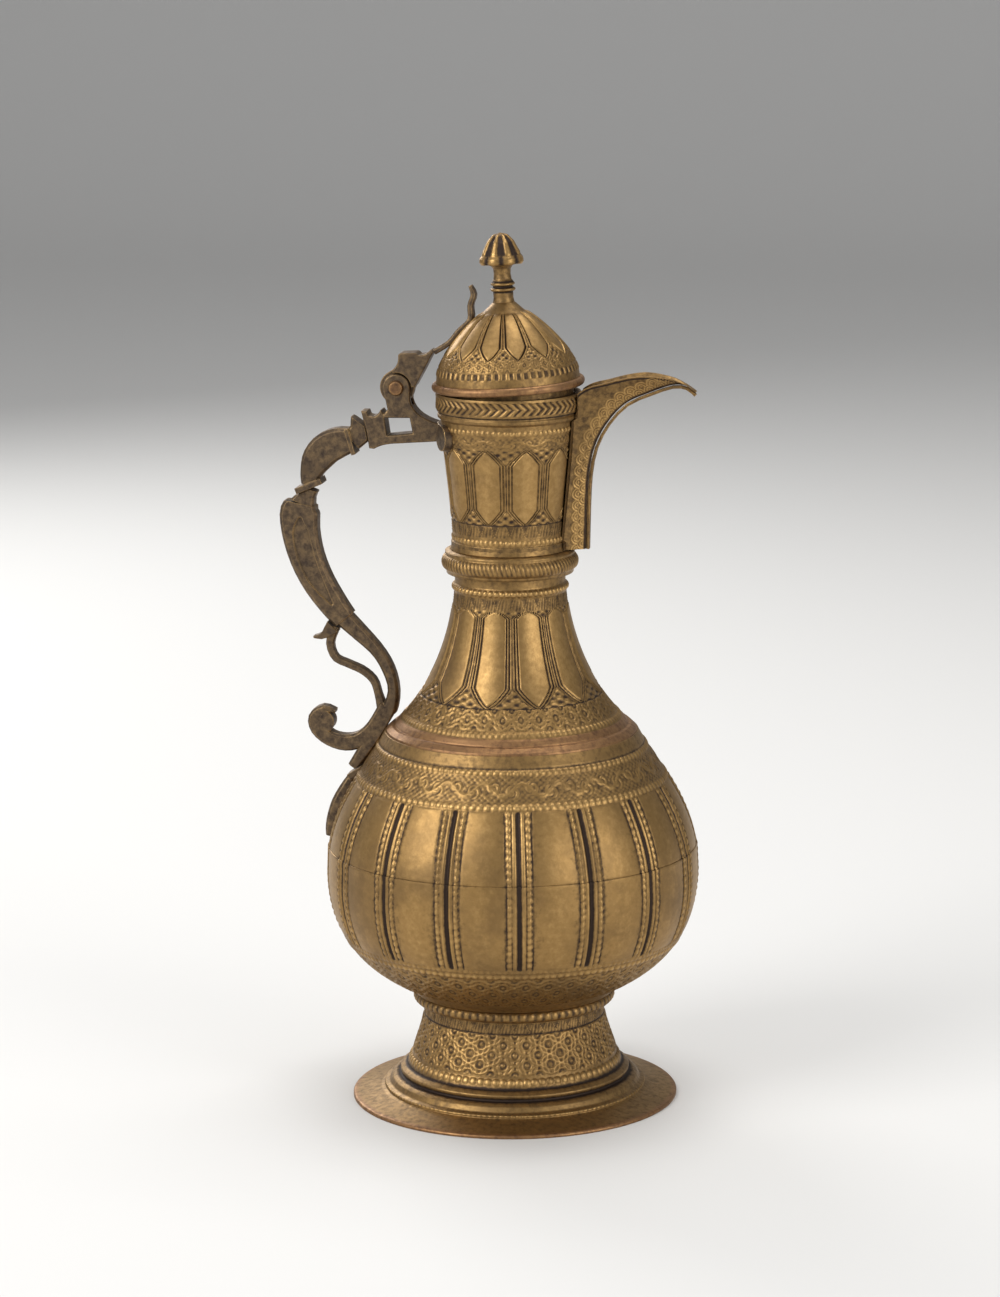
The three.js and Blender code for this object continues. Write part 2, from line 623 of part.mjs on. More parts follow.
// The planes that end the lower handle casting at the collars above and below it
function endCuts() {
  const upper = collarPlate(pinX - 36.1, pinZ - 39.9, 22, 30, 2.3 + 2 * seatGap, 40);
  const above = collarPlate(pinX - 34.6, pinZ - 36.2, 22, 30, 6, 40);
  const lower = collarPlate(-leafTopX, leafTopZ + 1, 33, 30, 2.6 + 2 * seatGap, 40);
  return [upper, above, lower];
}

// Collar and leaf that fix the handle to the belly. The leaf follows the belly's outline.
function handleLeaf() {
  const collar = collarPlate(-leafTopX, leafTopZ + 1, 33, 7.4, 2.6, branchWidth + 1.6);
  const stations = [[0, 3.4, 0.5], [0.16, 4.6, 0.72], [0.4, 5.4, 1], [0.66, 5, 0.8], [0.86, 4.2, 0.55],
    [1, 3, 0.3]].map(([share, thickness, width]) => {
    const z = leafTopZ - leafLength * share;
    return [-(bellyRadiusAt(z) + 1.4), z, thickness, leafWidth * width];
  });
  return geometryOf(cut(join(sweptBar(stations, 12, 1.2), collar), bellySeat));
}

function hingePin() {
  const shaft = crossBar(pinX, pinZ, pinRadius, bracketWidth + pinHeadThickness);
  const heads = [-1, 1].map((side) => {
    const geometry = new THREE.CylinderGeometry(pinHeadRadius - 0.6, pinHeadRadius, pinHeadThickness, smallFacets);
    if (side < 0) geometry.rotateX(Math.PI);
    geometry.translate(pinX, side * (bracketWidth + pinHeadThickness) / 2, pinZ);
    return solid(geometry);
  });
  return geometryOf(join(shaft, ...heads));
}

// Lid pieces, in the lid's own frame: z = 0 is the underside of the rim, on the lid's axis

const bezelRadius = mouthRadius - mouthWall - bezelClearance;
const crownZ = lidRimHeight + domeHeight;
const domeStart = lidRimHeight + 2.3;
const domeCurve = sweep(
  [domeRadius - 0.1, domeStart], [domeRadius - 0.1, lerp(domeStart, crownZ, 0.21)],
  [domeRadius * 0.55, crownZ - 7.5], [domeRadius * 0.297, crownZ - 3.8]);
const domeRadiusAt = (z) => radiusOn(domeCurve, z);

function domeOutline() {
  return [
    [domeRadius + 0.2, lidRimHeight], [domeRadius - 0.3, lidRimHeight + 0.9],
    ...heights(domeStart, crownZ - 3.8, 7).map((z) => [domeRadiusAt(z), z]),
    [crownRadius + 1, crownZ - 2], [crownRadius, crownZ],
  ];
}

function lidDome() {
  const seat = crownZ - 2.6;
  const inner = heights(domeStart, crownZ - 6, 4).reverse().map((z) => [
    Math.max(domeRadiusAt(z) - sheetAlongRadius(domeRadiusAt, z, lidWall), roveRadius + 1), z]);
  return turned([
    ...domeOutline(), [tenonRadius + seatGap, crownZ], [tenonRadius + seatGap, seat],
    [roveRadius + 0.4, seat], ...inner, [domeRadius - lidWall, lidRimHeight],
  ], bodyFacets);
}

function lidRim() {
  const bore = bezelRadius + seatGap;
  return turned([
    [bore, 0], [lidRimRadius - 1.1, 0], [lidRimRadius - 0.3, lidRimHeight * 0.18],
    [lidRimRadius, lidRimHeight * 0.48], [lidRimRadius - 0.4, lidRimHeight * 0.8],
    [lidRimRadius - 1.4, lidRimHeight], [bore, lidRimHeight],
  ]);
}

function lidBezel() {
  return turned([
    [bezelRadius - 1.2, -bezelDepth], [bezelRadius - 0.3, -bezelDepth], [bezelRadius, 0.6 - bezelDepth],
    [bezelRadius, lidRimHeight], [bezelRadius - 1.2, lidRimHeight],
  ]);
}

function finial() {
  const seat = crownZ - 2.6;
  const rivetTop = seat - 2 * seatGap - roveThickness;
  const z = (share) => crownZ + finialHeight * share;
  const lobed = (angle, index, r) =>
    (r > skirtRadius * 0.55 ? r * (1 - 0.05 * (1 + Math.cos(angle * 8)) / 2) : r);
  return turned([
    [0, rivetTop - rivetHeadThickness], [rivetHeadRadius - 0.5, rivetTop - rivetHeadThickness],
    [rivetHeadRadius, rivetTop], [tenonRadius, rivetTop], [tenonRadius, crownZ],
    [crownRadius, crownZ], [crownRadius - 0.3, z(0.14)], [crownRadius + 0.4, z(0.19)],
    [crownRadius - 0.3, z(0.24)], [crownRadius + 0.1, z(0.28)], [crownRadius - 0.6, z(0.32)],
    [crownRadius - 1, z(0.42)], [crownRadius + 0.2, z(0.54)], [skirtRadius - 0.8, z(0.57)],
    [skirtRadius, z(0.605)], [skirtRadius - 0.4, z(0.65)], [skirtRadius - 1.6, z(0.68)],
    [skirtRadius - 2.2, z(0.77)], [skirtRadius - 4.1, z(0.89)], [skirtRadius - 6.8, z(0.975)],
    [0, z(1)],
  ], 24, lobed);
}

function finialRove() {
  const top = crownZ - 2.6 - seatGap;
  return turned([
    [tenonRadius + seatGap, top - roveThickness], [roveRadius, top - roveThickness],
    [roveRadius, top], [tenonRadius + seatGap, top],
  ], smallFacets);
}

// The closed lid rests with the back of its rim on the lip and stands open by the tilt
const tilt = radians(lidTilt);
const lidZ = lipZ + seatGap + (lidRimRadius - 1.1) * Math.sin(tilt);
const pinInLid = new THREE.Vector3(pinX, 0, pinZ - lidZ).applyAxisAngle(new THREE.Vector3(0, 1, 0), tilt);

const domeSeat = solid(turned([[0, 0], [lidRimRadius + 0.4, 0], [lidRimRadius + 0.4, lidRimHeight],
  ...domeOutline().map(([r, z]) => [r + seatGap, z]), [0, crownZ]], bodyFacets));

// Hinge lever: a round tongue between the ears, and above them a full-width arm to the strap
function lidLever() {
  const arm = new THREE.Shape();
  arm.absarc(0, 0, tongueRadius, radians(112), radians(352), false);
  arm.lineTo(11.3, 6.3);
  arm.lineTo(14.4, 11.6);
  arm.lineTo(15.8, 13.8);
  arm.lineTo(14.6, 14.6);
  arm.quadraticCurveTo(13, 12.7, 9.8, 12.7);
  arm.quadraticCurveTo(8.9, 13.8, 8.2, 13.8);
  arm.lineTo(3, 13.8);
  arm.quadraticCurveTo(1.5, 13.8, 1.6, 12.4);
  arm.quadraticCurveTo(1.6, 8.4, ...onCircle(tongueRadius, 112));
  const whole = plate(arm, bracketWidth, 0.3, 10);
  const seats = [-1, 1].map((side) => crossBar(0, 0, earRadius + 2 * bearingGap, bracketWidth)
    .translate([0, side * (tongueThickness + bracketWidth) / 2, 0]));
  const below = [-1, 1].map((side) => block(-12, 12, bracketWidth, -12, 0.3)
    .translate([0, side * (tongueThickness + bracketWidth) / 2, 0]));
  const behind = [-1, 1].map((side) => block(-12, -1, bracketWidth, -12, 12)
    .translate([0, side * (tongueThickness + bracketWidth) / 2, 0]));
  const bore = crossBar(0, 0, pinRadius + bearingGap, bracketWidth * 2);
  const placed = cut(whole, ...seats, ...below, ...behind, bore).translate([pinInLid.x, 0, pinInLid.z]);
  return geometryOf(cut(placed, domeSeat));
}

// Strap along the dome, from the lever to the free curled thumb-piece
function lidStrap() {
  const leverEnd = [pinInLid.x + 15.6 + seatGap, pinInLid.z + 13.6];
  const onDome = (share) => {
    const z = lerp(leverEnd[1], crownZ - 6.4, share);
    return [-(domeRadiusAt(z) + seatGap + strapThickness * 0.42), z];
  };
  const stations = [
    [...leverEnd, strapThickness, strapWidth * 0.72], [...onDome(0.3), strapThickness, strapWidth],
    [...onDome(0.65), strapThickness, strapWidth * 0.9],
    [...onDome(1), strapThickness, strapWidth * 0.7],
    [-13.2, crownZ - 0.9, strapThickness, strapWidth * 0.55],
    [-11.7, crownZ + 3.4, strapThickness, strapWidth * 0.5],
    [-12.9, crownZ + 7, strapThickness * 0.6, strapWidth * 0.4],
  ];
  return geometryOf(cut(sweptBar(stations, 18, 0.5), domeSeat));
}

// Assembly

function piece(name, geometry, look) {
  const mesh = new THREE.Mesh(geometry, new THREE.MeshStandardMaterial(look));
  mesh.name = name;
  return mesh;
}

const body = new THREE.Group();
body.add(
  piece('foot', foot(), brass),
  piece('foot_ring', footRing(), brass),
  piece('lower_bowl', lowerBowl(), brass),
  piece('shoulder_shell', shoulderShell(), brass),
  piece('shoulder_ring', shoulderRing(), redBrass),
  piece('neck_cone', neckCone(), brass),
  piece('neck_collar', neckCollar(), brass),
  piece('upper_neck', upperNeck(), brass),
  piece('mouth_band', mouthBand(), brass),
);

const spout = new THREE.Group();
spout.add(
  piece('spout_cheek_right', spoutCheek(-1), brass),
  piece('spout_cheek_left', spoutCheek(1), brass),
  piece('spout_keel', spoutKeel(), brass),
);

const handle = new THREE.Group();
handle.add(
  piece('handle_bracket', handleBracket(), darkBrass),
  piece('handle_upper', handleUpper(), darkBrass),
  piece('handle_lower', handleLower(), darkBrass),
  piece('handle_leaf', handleLeaf(), darkBrass),
  piece('hinge_pin', hingePin(), redBrass),
);

const lid = new THREE.Group();
lid.position.set(0, 0, lidZ);
lid.rotation.y = -tilt;
lid.add(
  piece('lid_rim', lidRim(), brass),
  piece('lid_bezel', lidBezel(), brass),
  piece('lid_dome', lidDome(), brass),
  piece('finial', finial(), darkBrass),
  piece('finial_rove', finialRove(), brass),
  piece('lid_lever', lidLever(), darkBrass),
  piece('lid_strap', lidStrap(), darkBrass),
);

const ewer = new THREE.Group();
ewer.position.x = bodyX;
ewer.add(body, spout, handle, lid);

export default ewer;
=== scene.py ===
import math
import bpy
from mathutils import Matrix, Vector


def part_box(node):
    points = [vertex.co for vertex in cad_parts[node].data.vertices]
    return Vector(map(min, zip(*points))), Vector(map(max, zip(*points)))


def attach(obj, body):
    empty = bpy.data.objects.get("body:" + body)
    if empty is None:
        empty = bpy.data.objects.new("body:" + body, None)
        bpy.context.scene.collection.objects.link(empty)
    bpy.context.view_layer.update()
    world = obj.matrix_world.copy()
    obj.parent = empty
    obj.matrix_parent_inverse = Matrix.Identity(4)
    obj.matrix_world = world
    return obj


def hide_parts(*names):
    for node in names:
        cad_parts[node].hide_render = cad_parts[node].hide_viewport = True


bl_info = {
    "name": "Brass Ewer",
    "version": (1, 0, 0),
    "blender": (4, 5, 0),
    "location": "View3D > Sidebar > Ewer",
    "description": "Dresses the packed ewer with chased brass surfaces, a floor, soft light and a camera",
    "category": "Object",
}

import bpy
import numpy as np
from bpy.props import FloatProperty, FloatVectorProperty, IntProperty, PointerProperty
from mathutils import Matrix

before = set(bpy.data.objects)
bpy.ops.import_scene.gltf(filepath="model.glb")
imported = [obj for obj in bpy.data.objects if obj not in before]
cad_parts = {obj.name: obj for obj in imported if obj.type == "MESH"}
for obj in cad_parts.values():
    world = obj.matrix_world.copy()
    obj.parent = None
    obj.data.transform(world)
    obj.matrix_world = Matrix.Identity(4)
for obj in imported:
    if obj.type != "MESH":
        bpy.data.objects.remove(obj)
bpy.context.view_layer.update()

MM = 0.001
TAU = 2 * math.pi

# The body's axis, read from the round foot, in millimetres
foot_low, foot_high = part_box("foot")
AXIS_X = (foot_low.x + foot_high.x) / 2 / MM

# Heights above the floor where one section of the body meets the next, in millimetres
FOOT_TOP = 39.2
BOWL_LOW = 44.2
SEAM = 104.2
SHOULDER_TOP = 150.8
NECK_LOW = 156.2
COLLAR_LOW = 215
COLLAR_TOP = 224.6
MOUTH_LOW = 276.8
MOUTH_TOP = 287.3

# The belly's widest radius and its height, and the gap between stacked sections, in millimetres
BELLY_RADIUS = 74.5
BELLY_HEIGHT = 94
SEAT_GAP = 0.02

# Flutes round the belly, and where the first one stands, in degrees from the camera's side
FLUTES = 16
FLUTE_PHASE = 1.7

# The spout's trough starts this far from the axis and this high, and its tip reaches this far out
SPOUT_OUT = 32.1
SPOUT_LOW = 224.9
SPOUT_REACH = 74.7

# The lid stands open by a small angle in the photograph, and is turned about the mouth's centre
LID_TILT = math.radians(2.6)
LID_RADIUS = 30.3
LID_BEARING = 1.1
LID_GAP = 0.3
LID_Z = MOUTH_TOP + LID_GAP + (LID_RADIUS - LID_BEARING) * math.sin(LID_TILT)

# The camera's place from the foot of the body's axis in millimetres, and its turns in degrees
CAMERA_PLACE = (285.4, -1713.4, 533)
CAMERA_TURN = 9.6
CAMERA_ROLL = -0.57

# The direction round the axis that faces the camera, in degrees from +X
FRONT = CAMERA_TURN - 90

# Share of an ornament's depth that is cut below the plain surface
SUNK_LEAVES = 0.4
SUNK_PANELS = 0.42

# Height of the beaded ring near the top of the lower neck, in millimetres
NECK_RING = 209.7

# How much of each bead's step its half width fills
BEAD_FILL = 0.47


# Sizes and colours that a user would change

class EwerLook(bpy.types.PropertyGroup):
    """Colours and depths of the aged brass"""

    brass: FloatVectorProperty(
        name="Brass", description="Clean brass on the body", subtype="COLOR", size=3,
        min=0, max=1, default=(0.26, 0.152, 0.052))
    patina: FloatVectorProperty(
        name="Patina", description="Dark patina in the recesses", subtype="COLOR", size=3,
        min=0, max=1, default=(0.022, 0.017, 0.02))
    worn: FloatVectorProperty(
        name="Worn edge", description="Polished metal on edges that hands reach", subtype="COLOR",
        size=3, min=0, max=1, default=(0.52, 0.325, 0.125))
    copper: FloatVectorProperty(
        name="Copper", description="Reddish metal on the foot's edge and the rings", subtype="COLOR",
        size=3, min=0, max=1, default=(0.30, 0.145, 0.07))
    bronze: FloatVectorProperty(
        name="Bronze", description="Greyer cast metal of the handle", subtype="COLOR", size=3,
        min=0, max=1, default=(0.15, 0.112, 0.08))
    flute_depth: FloatProperty(
        name="Flute depth", description="Depth of the belly's flutes", unit="LENGTH",
        min=0, max=0.002, default=0.0009)
    columns: IntProperty(
        name="Columns", description="Points round each chased section", min=96, max=1080, default=720)


class EwerStage(bpy.types.PropertyGroup):
    """Camera, lamps and floor"""

    lens: FloatProperty(
        name="Lens", description="Focal length of the camera", subtype="DISTANCE_CAMERA",
        min=20, max=300, default=123.1)
    pitch: FloatProperty(
        name="Pitch", description="How far the camera looks down", subtype="ANGLE",
        default=math.radians(11.37))
    key_power: FloatProperty(
        name="Key power", description="Power of the large lamp", unit="POWER", min=0, default=30)
    floor: FloatVectorProperty(
        name="Floor", description="Colour of the floor", subtype="COLOR", size=3,
        min=0, max=1, default=(0.72, 0.71, 0.69))


# Helpers that put computed surfaces into meshes

def put_mesh(name, points, quads, triangles=(), relief=None):
    """A mesh object from points in millimetres; relief is stored for each point, 0 low and 1 high."""
    mesh = bpy.data.meshes.new(name)
    faces = [tuple(q) for q in quads.tolist()]
    if len(triangles):
        faces += [tuple(t) for t in triangles.tolist()]
    mesh.from_pydata((points * MM).tolist(), [], faces)
    mesh.update()
    if relief is not None:
        layer = mesh.attributes.new("relief", "FLOAT", "POINT")
        layer.data.foreach_set("value", np.clip(relief, 0, 1).astype(np.float32).ravel())
    mesh.polygons.foreach_set("use_smooth", np.ones(len(mesh.polygons), bool))
    obj = bpy.data.objects.new(name, mesh)
    bpy.context.scene.collection.objects.link(obj)
    return obj


def grid_quads(rows, columns, wrap_rows, wrap_columns):
    """Corner numbers of the quads on a grid of rows by columns, wrapped where asked."""
    i = np.arange(rows if wrap_rows else rows - 1)[:, None]
    j = np.arange(columns if wrap_columns else columns - 1)[None, :]
    i2 = (i + 1) % rows
    j2 = (j + 1) % columns
    corners = [i * columns + j, i * columns + j2, i2 * columns + j2, i2 * columns + j]
    return np.stack(corners, -1).reshape(-1, 4)


def bezier(points, count):
    """Points on a cubic curve: the four control points weighted by the Bernstein polynomials."""
    t = np.linspace(0, 1, count)[:, None]
    p = np.array(points, float)
    return (1 - t) ** 3 * p[0] + 3 * (1 - t) ** 2 * t * p[1] + 3 * (1 - t) * t * t * p[2] + t ** 3 * p[3]


def thin(line, every):
    """Every few points of a line, with its last one kept."""
    return np.concatenate([line[:-1:every], line[-1:]])


def resample(line, step):
    """The same broken line with points every step millimetres, and at its own corners."""
    line = np.array(line, float)
    pieces = []
    for a, b in zip(line[:-1], line[1:]):
        count = max(1, int(np.ceil(np.hypot(*(b - a)) / step)))
        t = np.linspace(0, 1, count, endpoint=False)[:, None]
        pieces.append(a + (b - a) * t)
    pieces.append(line[-1:])
    return np.concatenate(pieces)


def revolve(name, outer, inner, columns, chase=None, lid=False, low=-0.6, high=0.6, round_to_axis=False):
    """A turned shell. Radius and height follow the outer line up and the inner line down, and each
    outer point moves along the line's normal by chase(angle, height, radius) in millimetres. The
    relief is 0 where the chasing is at low and 1 where it is at high."""
    nudge = 0.03
    inner_relief = 0.35
    pole_relief = 0.4
    start = outer[0] + (outer[1] - outer[0]) * nudge / np.hypot(*(outer[1] - outer[0]))
    stop = outer[-1] - (outer[-1] - outer[-2]) * nudge / np.hypot(*(outer[-1] - outer[-2]))
    outer = np.concatenate([outer[:1], [start], outer[1:-1], [stop], outer[-1:]])
    line = np.concatenate([outer, inner])
    weight = np.concatenate([np.ones(len(outer)), np.zeros(len(inner))])
    along = np.gradient(outer, axis=0)
    length = np.maximum(np.hypot(along[:, 0], along[:, 1]), 1e-9)
    normal = np.zeros_like(line)
    normal[:len(outer), 0] = along[:, 1] / length
    normal[:len(outer), 1] = -along[:, 0] / length
    phi = np.arange(columns) / columns * TAU
    degrees = np.degrees(phi)[None, :] - FRONT
    height = np.zeros((len(line), columns))
    if chase is not None:
        height = chase(degrees + 0 * line[:, 1:], line[:, 1:] + 0 * degrees, line[:, :1]) * weight[:, None]
    radius = line[:, :1] + normal[:, :1] * height
    up = line[:, 1:] + normal[:, 1:] * height
    points = np.stack([radius * np.cos(phi), radius * np.sin(phi), up], -1)
    relief = (height - low) / (high - low)
    relief[len(outer):] = inner_relief
    points = points.reshape(-1, 3)
    points = lid_place(points) if lid else points + [AXIS_X, 0, 0]
    quads = grid_quads(len(line), columns, not round_to_axis, True)
    triangles = np.zeros((0, 3), int)
    relief = relief.ravel()
    if round_to_axis:
        poles = np.array([[0, 0, line[0, 1]], [0, 0, line[-1, 1]]], float)
        poles = lid_place(poles) if lid else poles + [AXIS_X, 0, 0]
        first, last = len(points), len(points) + 1
        j = np.arange(columns)
        j2 = (j + 1) % columns
        end = (len(line) - 1) * columns
        triangles = np.concatenate([
            np.stack([np.full(columns, first), j2, j], -1),
            np.stack([end + j, end + j2, np.full(columns, last)], -1)])
        points = np.concatenate([points, poles])
        relief = np.concatenate([relief, [pole_relief, pole_relief]])
    return put_mesh(name, points, quads, triangles, relief)


def lid_place(points):
    """From the lid's own frame to the ewer's: a turn about Y, then the lid's place."""
    x = points[:, 0] * math.cos(LID_TILT) - points[:, 2] * math.sin(LID_TILT)
    z = points[:, 0] * math.sin(LID_TILT) + points[:, 2] * math.cos(LID_TILT)
    return np.stack([x + AXIS_X, points[:, 1], z + LID_Z], -1)


# Chased ornament: heights in millimetres over angle (degrees) and height

def smooth(a, b, v):
    """A smooth rise from 0 at a to 1 at b."""
    t = np.clip((v - a) / (b - a), 0, 1)
    return t * t * (3 - 2 * t)


def band(z, low, high, edge=0.5):
    """1 between two heights and 0 outside, with soft edges."""
    return smooth(low - edge / 2, low + edge / 2, z) * (1 - smooth(high - edge / 2, high + edge / 2, z))


def beads(degrees, z, middle, half, count, depth):
    """A ring of round beads: a half sphere in each of count equal steps round the axis."""
    u = (degrees / 360 * count) % 1 - 0.5
    d2 = (u / BEAD_FILL) ** 2 + ((z - middle) / half) ** 2
    return depth * np.sqrt(np.clip(1 - d2, 0, 1))


def hump(v, middle, half):
    """A rounded hump, 1 high: e to minus the square of the distance from its middle over half."""
    return np.exp(-((v - middle) / half) ** 2)


def crown(v):
    """A quarter of a cosine, from 1 where v is 0 to 0 where v is 1."""
    return np.cos(np.clip(v, 0, 1) * math.pi / 2)


def line_cut(z, middle, half, depth):
    """A cut line round the axis, round in section."""
    return -depth * hump(z, middle, half)


def scrolls(degrees, z, low, high, count, depth):
    """A winding stem, its height a sine of the angle, with a spiral leaf in each bend and a ground
    of small waves between them."""
    span = high - low
    middle = (low + high) / 2
    swing = 0.24 * span
    stem_half = 0.085 * span
    turn = degrees / 360 * count * TAU
    stem = hump(z, middle + swing * np.sin(turn), stem_half)
    bend = degrees / 360 * count * 2 - 0.5
    side = np.where(np.floor(bend) % 2 < 1, 1, -1)
    u = bend % 1 - 0.5
    v = (z - middle - side * swing * 0.35) / span
    distance = np.hypot(u * 1.1, v * 1.5)
    spiral = 0.5 + 0.5 * np.cos(np.arctan2(v, u) * 2 + distance * 22)
    leaf = spiral * (1 - smooth(0.34, 0.46, distance))
    waves = 0.7 * (0.5 + 0.5 * np.cos(turn * 6) * np.cos((z - low) * 3.1))
    figure = np.maximum(np.maximum(stem, leaf), waves * smooth(0.4, 0.5, distance))
    return depth * (figure - SUNK_LEAVES) * band(z, low, high)


def leaf_rows(degrees, z, low, high, count, rows, depth):
    """Rows of overlapping pointed leaves: each edge is a raised arc, with veins inside it."""
    total = np.zeros_like(z + degrees)
    step = (high - low) / rows
    overlap = 1.5
    pointed = 1.7
    for row in range(rows):
        u = ((degrees / 360 * count + 0.5 * row) % 1 - 0.5) * 2
        v = (z - low - row * step) / (step * overlap)
        edge = 1 - np.abs(u) ** pointed - v
        rim = hump(edge, 0, 0.09)
        vein = 0.45 * (0.5 + 0.5 * np.cos(u * 13 - v * 5)) * np.clip(edge * 3, 0, 1)
        total = np.where((edge > 0) & (v > 0), np.maximum(rim, vein), total)
    return depth * (total - SUNK_LEAVES) * band(z, low, high)


def interlace(degrees, z, low, high, count, rows, depth):
    """Staggered rows of rings that cross their neighbours: round each point of two lattices stand
    a dot, an inner ring and an outer ring, as humps of the distance from that point."""
    step = (high - low) / rows
    stretch = 1.15
    total = np.zeros_like(z + degrees)
    for shift in (0.0, 0.5):
        u = ((degrees / 360 * count + shift) % 1 - 0.5) * step * stretch
        v = (((z - low) / step + shift) % 1 - 0.5) * step
        distance = np.hypot(u, v) / step
        rings = hump(distance, 0.47, 0.06) + 0.9 * hump(distance, 0.25, 0.05)
        total = np.maximum(total, np.maximum(rings, hump(distance, 0, 0.08)))
    return depth * (total - SUNK_PANELS) * band(z, low, high)


def panels(degrees, z, low, high, count, phase, depth, both_ends=False):
    """Tall plain panels with a point below, and above too if asked. Inside a raised double edge
    the metal is smooth and slightly crowned, and the ground between the panels is waved."""
    widest = 0.8
    taper, bow = 0.2, 0.75
    head_taper, head_bow = (taper, bow) if both_ends else (0.07, 0.5)
    turn = (degrees - phase) / 360 * count
    u = np.abs(turn - np.round(turn)) * 2
    t = np.clip((z - low) / (high - low), 0, 1)
    foot = np.clip(t / taper, 0, 1) ** bow
    head = np.clip((1 - t) / head_taper, 0, 1) ** head_bow
    gap = widest * np.minimum(foot, head) - u
    rim = 0.9 * hump(gap, 0.02, 0.045) + 0.7 * hump(gap, -0.13, 0.04)
    plain = smooth(0.07, 0.16, gap) * (0.5 + 0.3 * crown(u / widest))
    waves = 0.5 + 0.5 * np.cos(TAU * 1.6 * turn * 2) * np.cos((z - low) * 2.1)
    groove = 0.75 * hump(gap, -0.055, 0.03) + 0.6 * hump(gap, 0.09, 0.03)
    raised = np.maximum(np.maximum(rim, plain), 0.8 * waves * smooth(-0.17, -0.24, gap))
    return depth * (raised - groove - SUNK_PANELS) * band(z, low, high)


def herringbone(degrees, z, low, high, count, depth):
    """Slanted strokes that meet at the middle height."""
    slant = 0.9
    v = np.abs((z - low) / (high - low) - 0.5) * 2
    return depth * np.cos((degrees / 360 * count + v * slant) * TAU) * band(z, low, high, 0.3)


def chase_foot(degrees, z, radius):
    """Two rings of beads, cut lines, a lattice of rings on the cone and a row of leaves above it."""
    out = beads(degrees, z, middle=4.9, half=0.6, count=150, depth=0.35)
    out = out + beads(degrees, z, middle=15.9, half=1.3, count=84, depth=0.6)
    out = out + line_cut(z, middle=9.8, half=0.5, depth=0.5)
    out = out + line_cut(z, middle=13.6, half=0.5, depth=0.4)
    out = out + interlace(degrees, z, low=18.4, high=33.6, count=26, rows=2, depth=0.55)
    out = out + line_cut(z, middle=34.1, half=0.3, depth=0.35)
    return out + leaf_rows(degrees, z, low=34.4, high=38.4, count=40, rows=1, depth=0.4)


def chase_foot_ring(degrees, z, radius):
    """Short gadroons on the ring under the bowl."""
    gadroons = 76
    return 0.22 * np.cos(degrees / 360 * gadroons * TAU) * band(z, 40.4, 43.4, edge=1)


def chase_belly(degrees, z, radius):
    """Sixteen flutes, each between two raised lips and two strips of beads, with crowned panels
    between them. A ring lattice runs below, and a winding vine between beads above."""
    flute_depth = bpy.context.scene.ewer_look.flute_depth / MM
    step = 360 / FLUTES
    turn = (degrees - FLUTE_PHASE) / step
    arc = step / 360 * TAU * np.maximum(radius, 10)
    across = np.abs(turn - np.round(turn)) * arc
    groove = -flute_depth * hump(across, 0, 0.8) + 0.42 * hump(across, 1.7, 0.55)
    bead_middle, bead_half, bead_pitch, panel_edge = 3.9, 1.0, 2.7, 5.4
    d2 = ((across - bead_middle) / bead_half) ** 2 + ((z / bead_pitch % 1 - 0.5) / BEAD_FILL) ** 2
    strip = 0.5 * np.sqrt(np.clip(1 - d2, 0, 1))
    lines = -0.3 * hump(across, 2.7, 0.3) - 0.35 * hump(across, 5.1, 0.4)
    half_arc = arc / 2
    panel = 0.22 * crown((half_arc - across) / np.maximum(half_arc - panel_edge, 1))
    out = band(z, 69.4, 131.2, edge=0.8) * (groove + strip + lines + panel)
    out = out + interlace(degrees, z, low=48.8, high=64.4, count=44, rows=2, depth=0.45)
    out = out + beads(degrees, z, middle=66.1, half=1.15, count=150, depth=0.5)
    out = out + beads(degrees, z, middle=68.3, half=0.8, count=190, depth=0.35)
    out = out + beads(degrees, z, middle=132.8, half=1.2, count=136, depth=0.5)
    out = out + scrolls(degrees, z, low=134.4, high=143.6, count=24, depth=0.42)
    out = out + beads(degrees, z, middle=144.9, half=1.0, count=132, depth=0.45)
    out = out + line_cut(z, middle=SEAM, half=0.2, depth=0.12)
    return out + line_cut(z, middle=146.3, half=0.3, depth=0.25)


def chase_neck(degrees, z, radius):
    """Beads, a frieze of rings, eleven pointed panels, a row of leaves and a beaded ring."""
    out = beads(degrees, z, middle=157.6, half=1.0, count=118, depth=0.45)
    out = out + interlace(degrees, z, low=159, high=166.3, count=34, rows=1, depth=0.5)
    out = out + panels(degrees, z, low=166.5, high=202.6, count=11, phase=-15.5, depth=0.75)
    out = out + leaf_rows(degrees, z, low=203, high=207.6, count=26, rows=1, depth=0.35)
    out = out + beads(degrees, z, middle=NECK_RING, half=1.1, count=62, depth=0.55)
    return out + line_cut(z, middle=166.4, half=0.3, depth=0.3)


def chase_collar(degrees, z, radius):
    """Fine slanted strokes on the collar's roll."""
    strokes = 90
    rise = 7
    return 0.14 * np.cos((degrees / 360 * strokes + z / rise) * TAU) * band(z, 217.4, 222.4, edge=0.8)


def chase_upper_neck(degrees, z, radius):
    """Two rings of beads, a row of leaves, ten upright panels and a winding stem."""
    out = beads(degrees, z, middle=229.9, half=1.0, count=66, depth=0.45)
    out = out + leaf_rows(degrees, z, low=232.2, high=236.6, count=24, rows=1, depth=0.35)
    out = out + panels(degrees, z, low=237.2, high=267.2, count=10, phase=-21, depth=0.75, both_ends=True)
    out = out + scrolls(degrees, z, low=267.8, high=272, count=12, depth=0.35)
    out = out + beads(degrees, z, middle=273.9, half=1.0, count=72, depth=0.45)
    return out + line_cut(z, middle=237, half=0.3, depth=0.3)


def chase_mouth(degrees, z, radius):
    """A herringbone band above a cut line."""
    plait = herringbone(degrees, z, low=281.2, high=286.2, count=58, depth=0.26)
    return plait + line_cut(z, middle=279.9, half=0.3, depth=0.4)


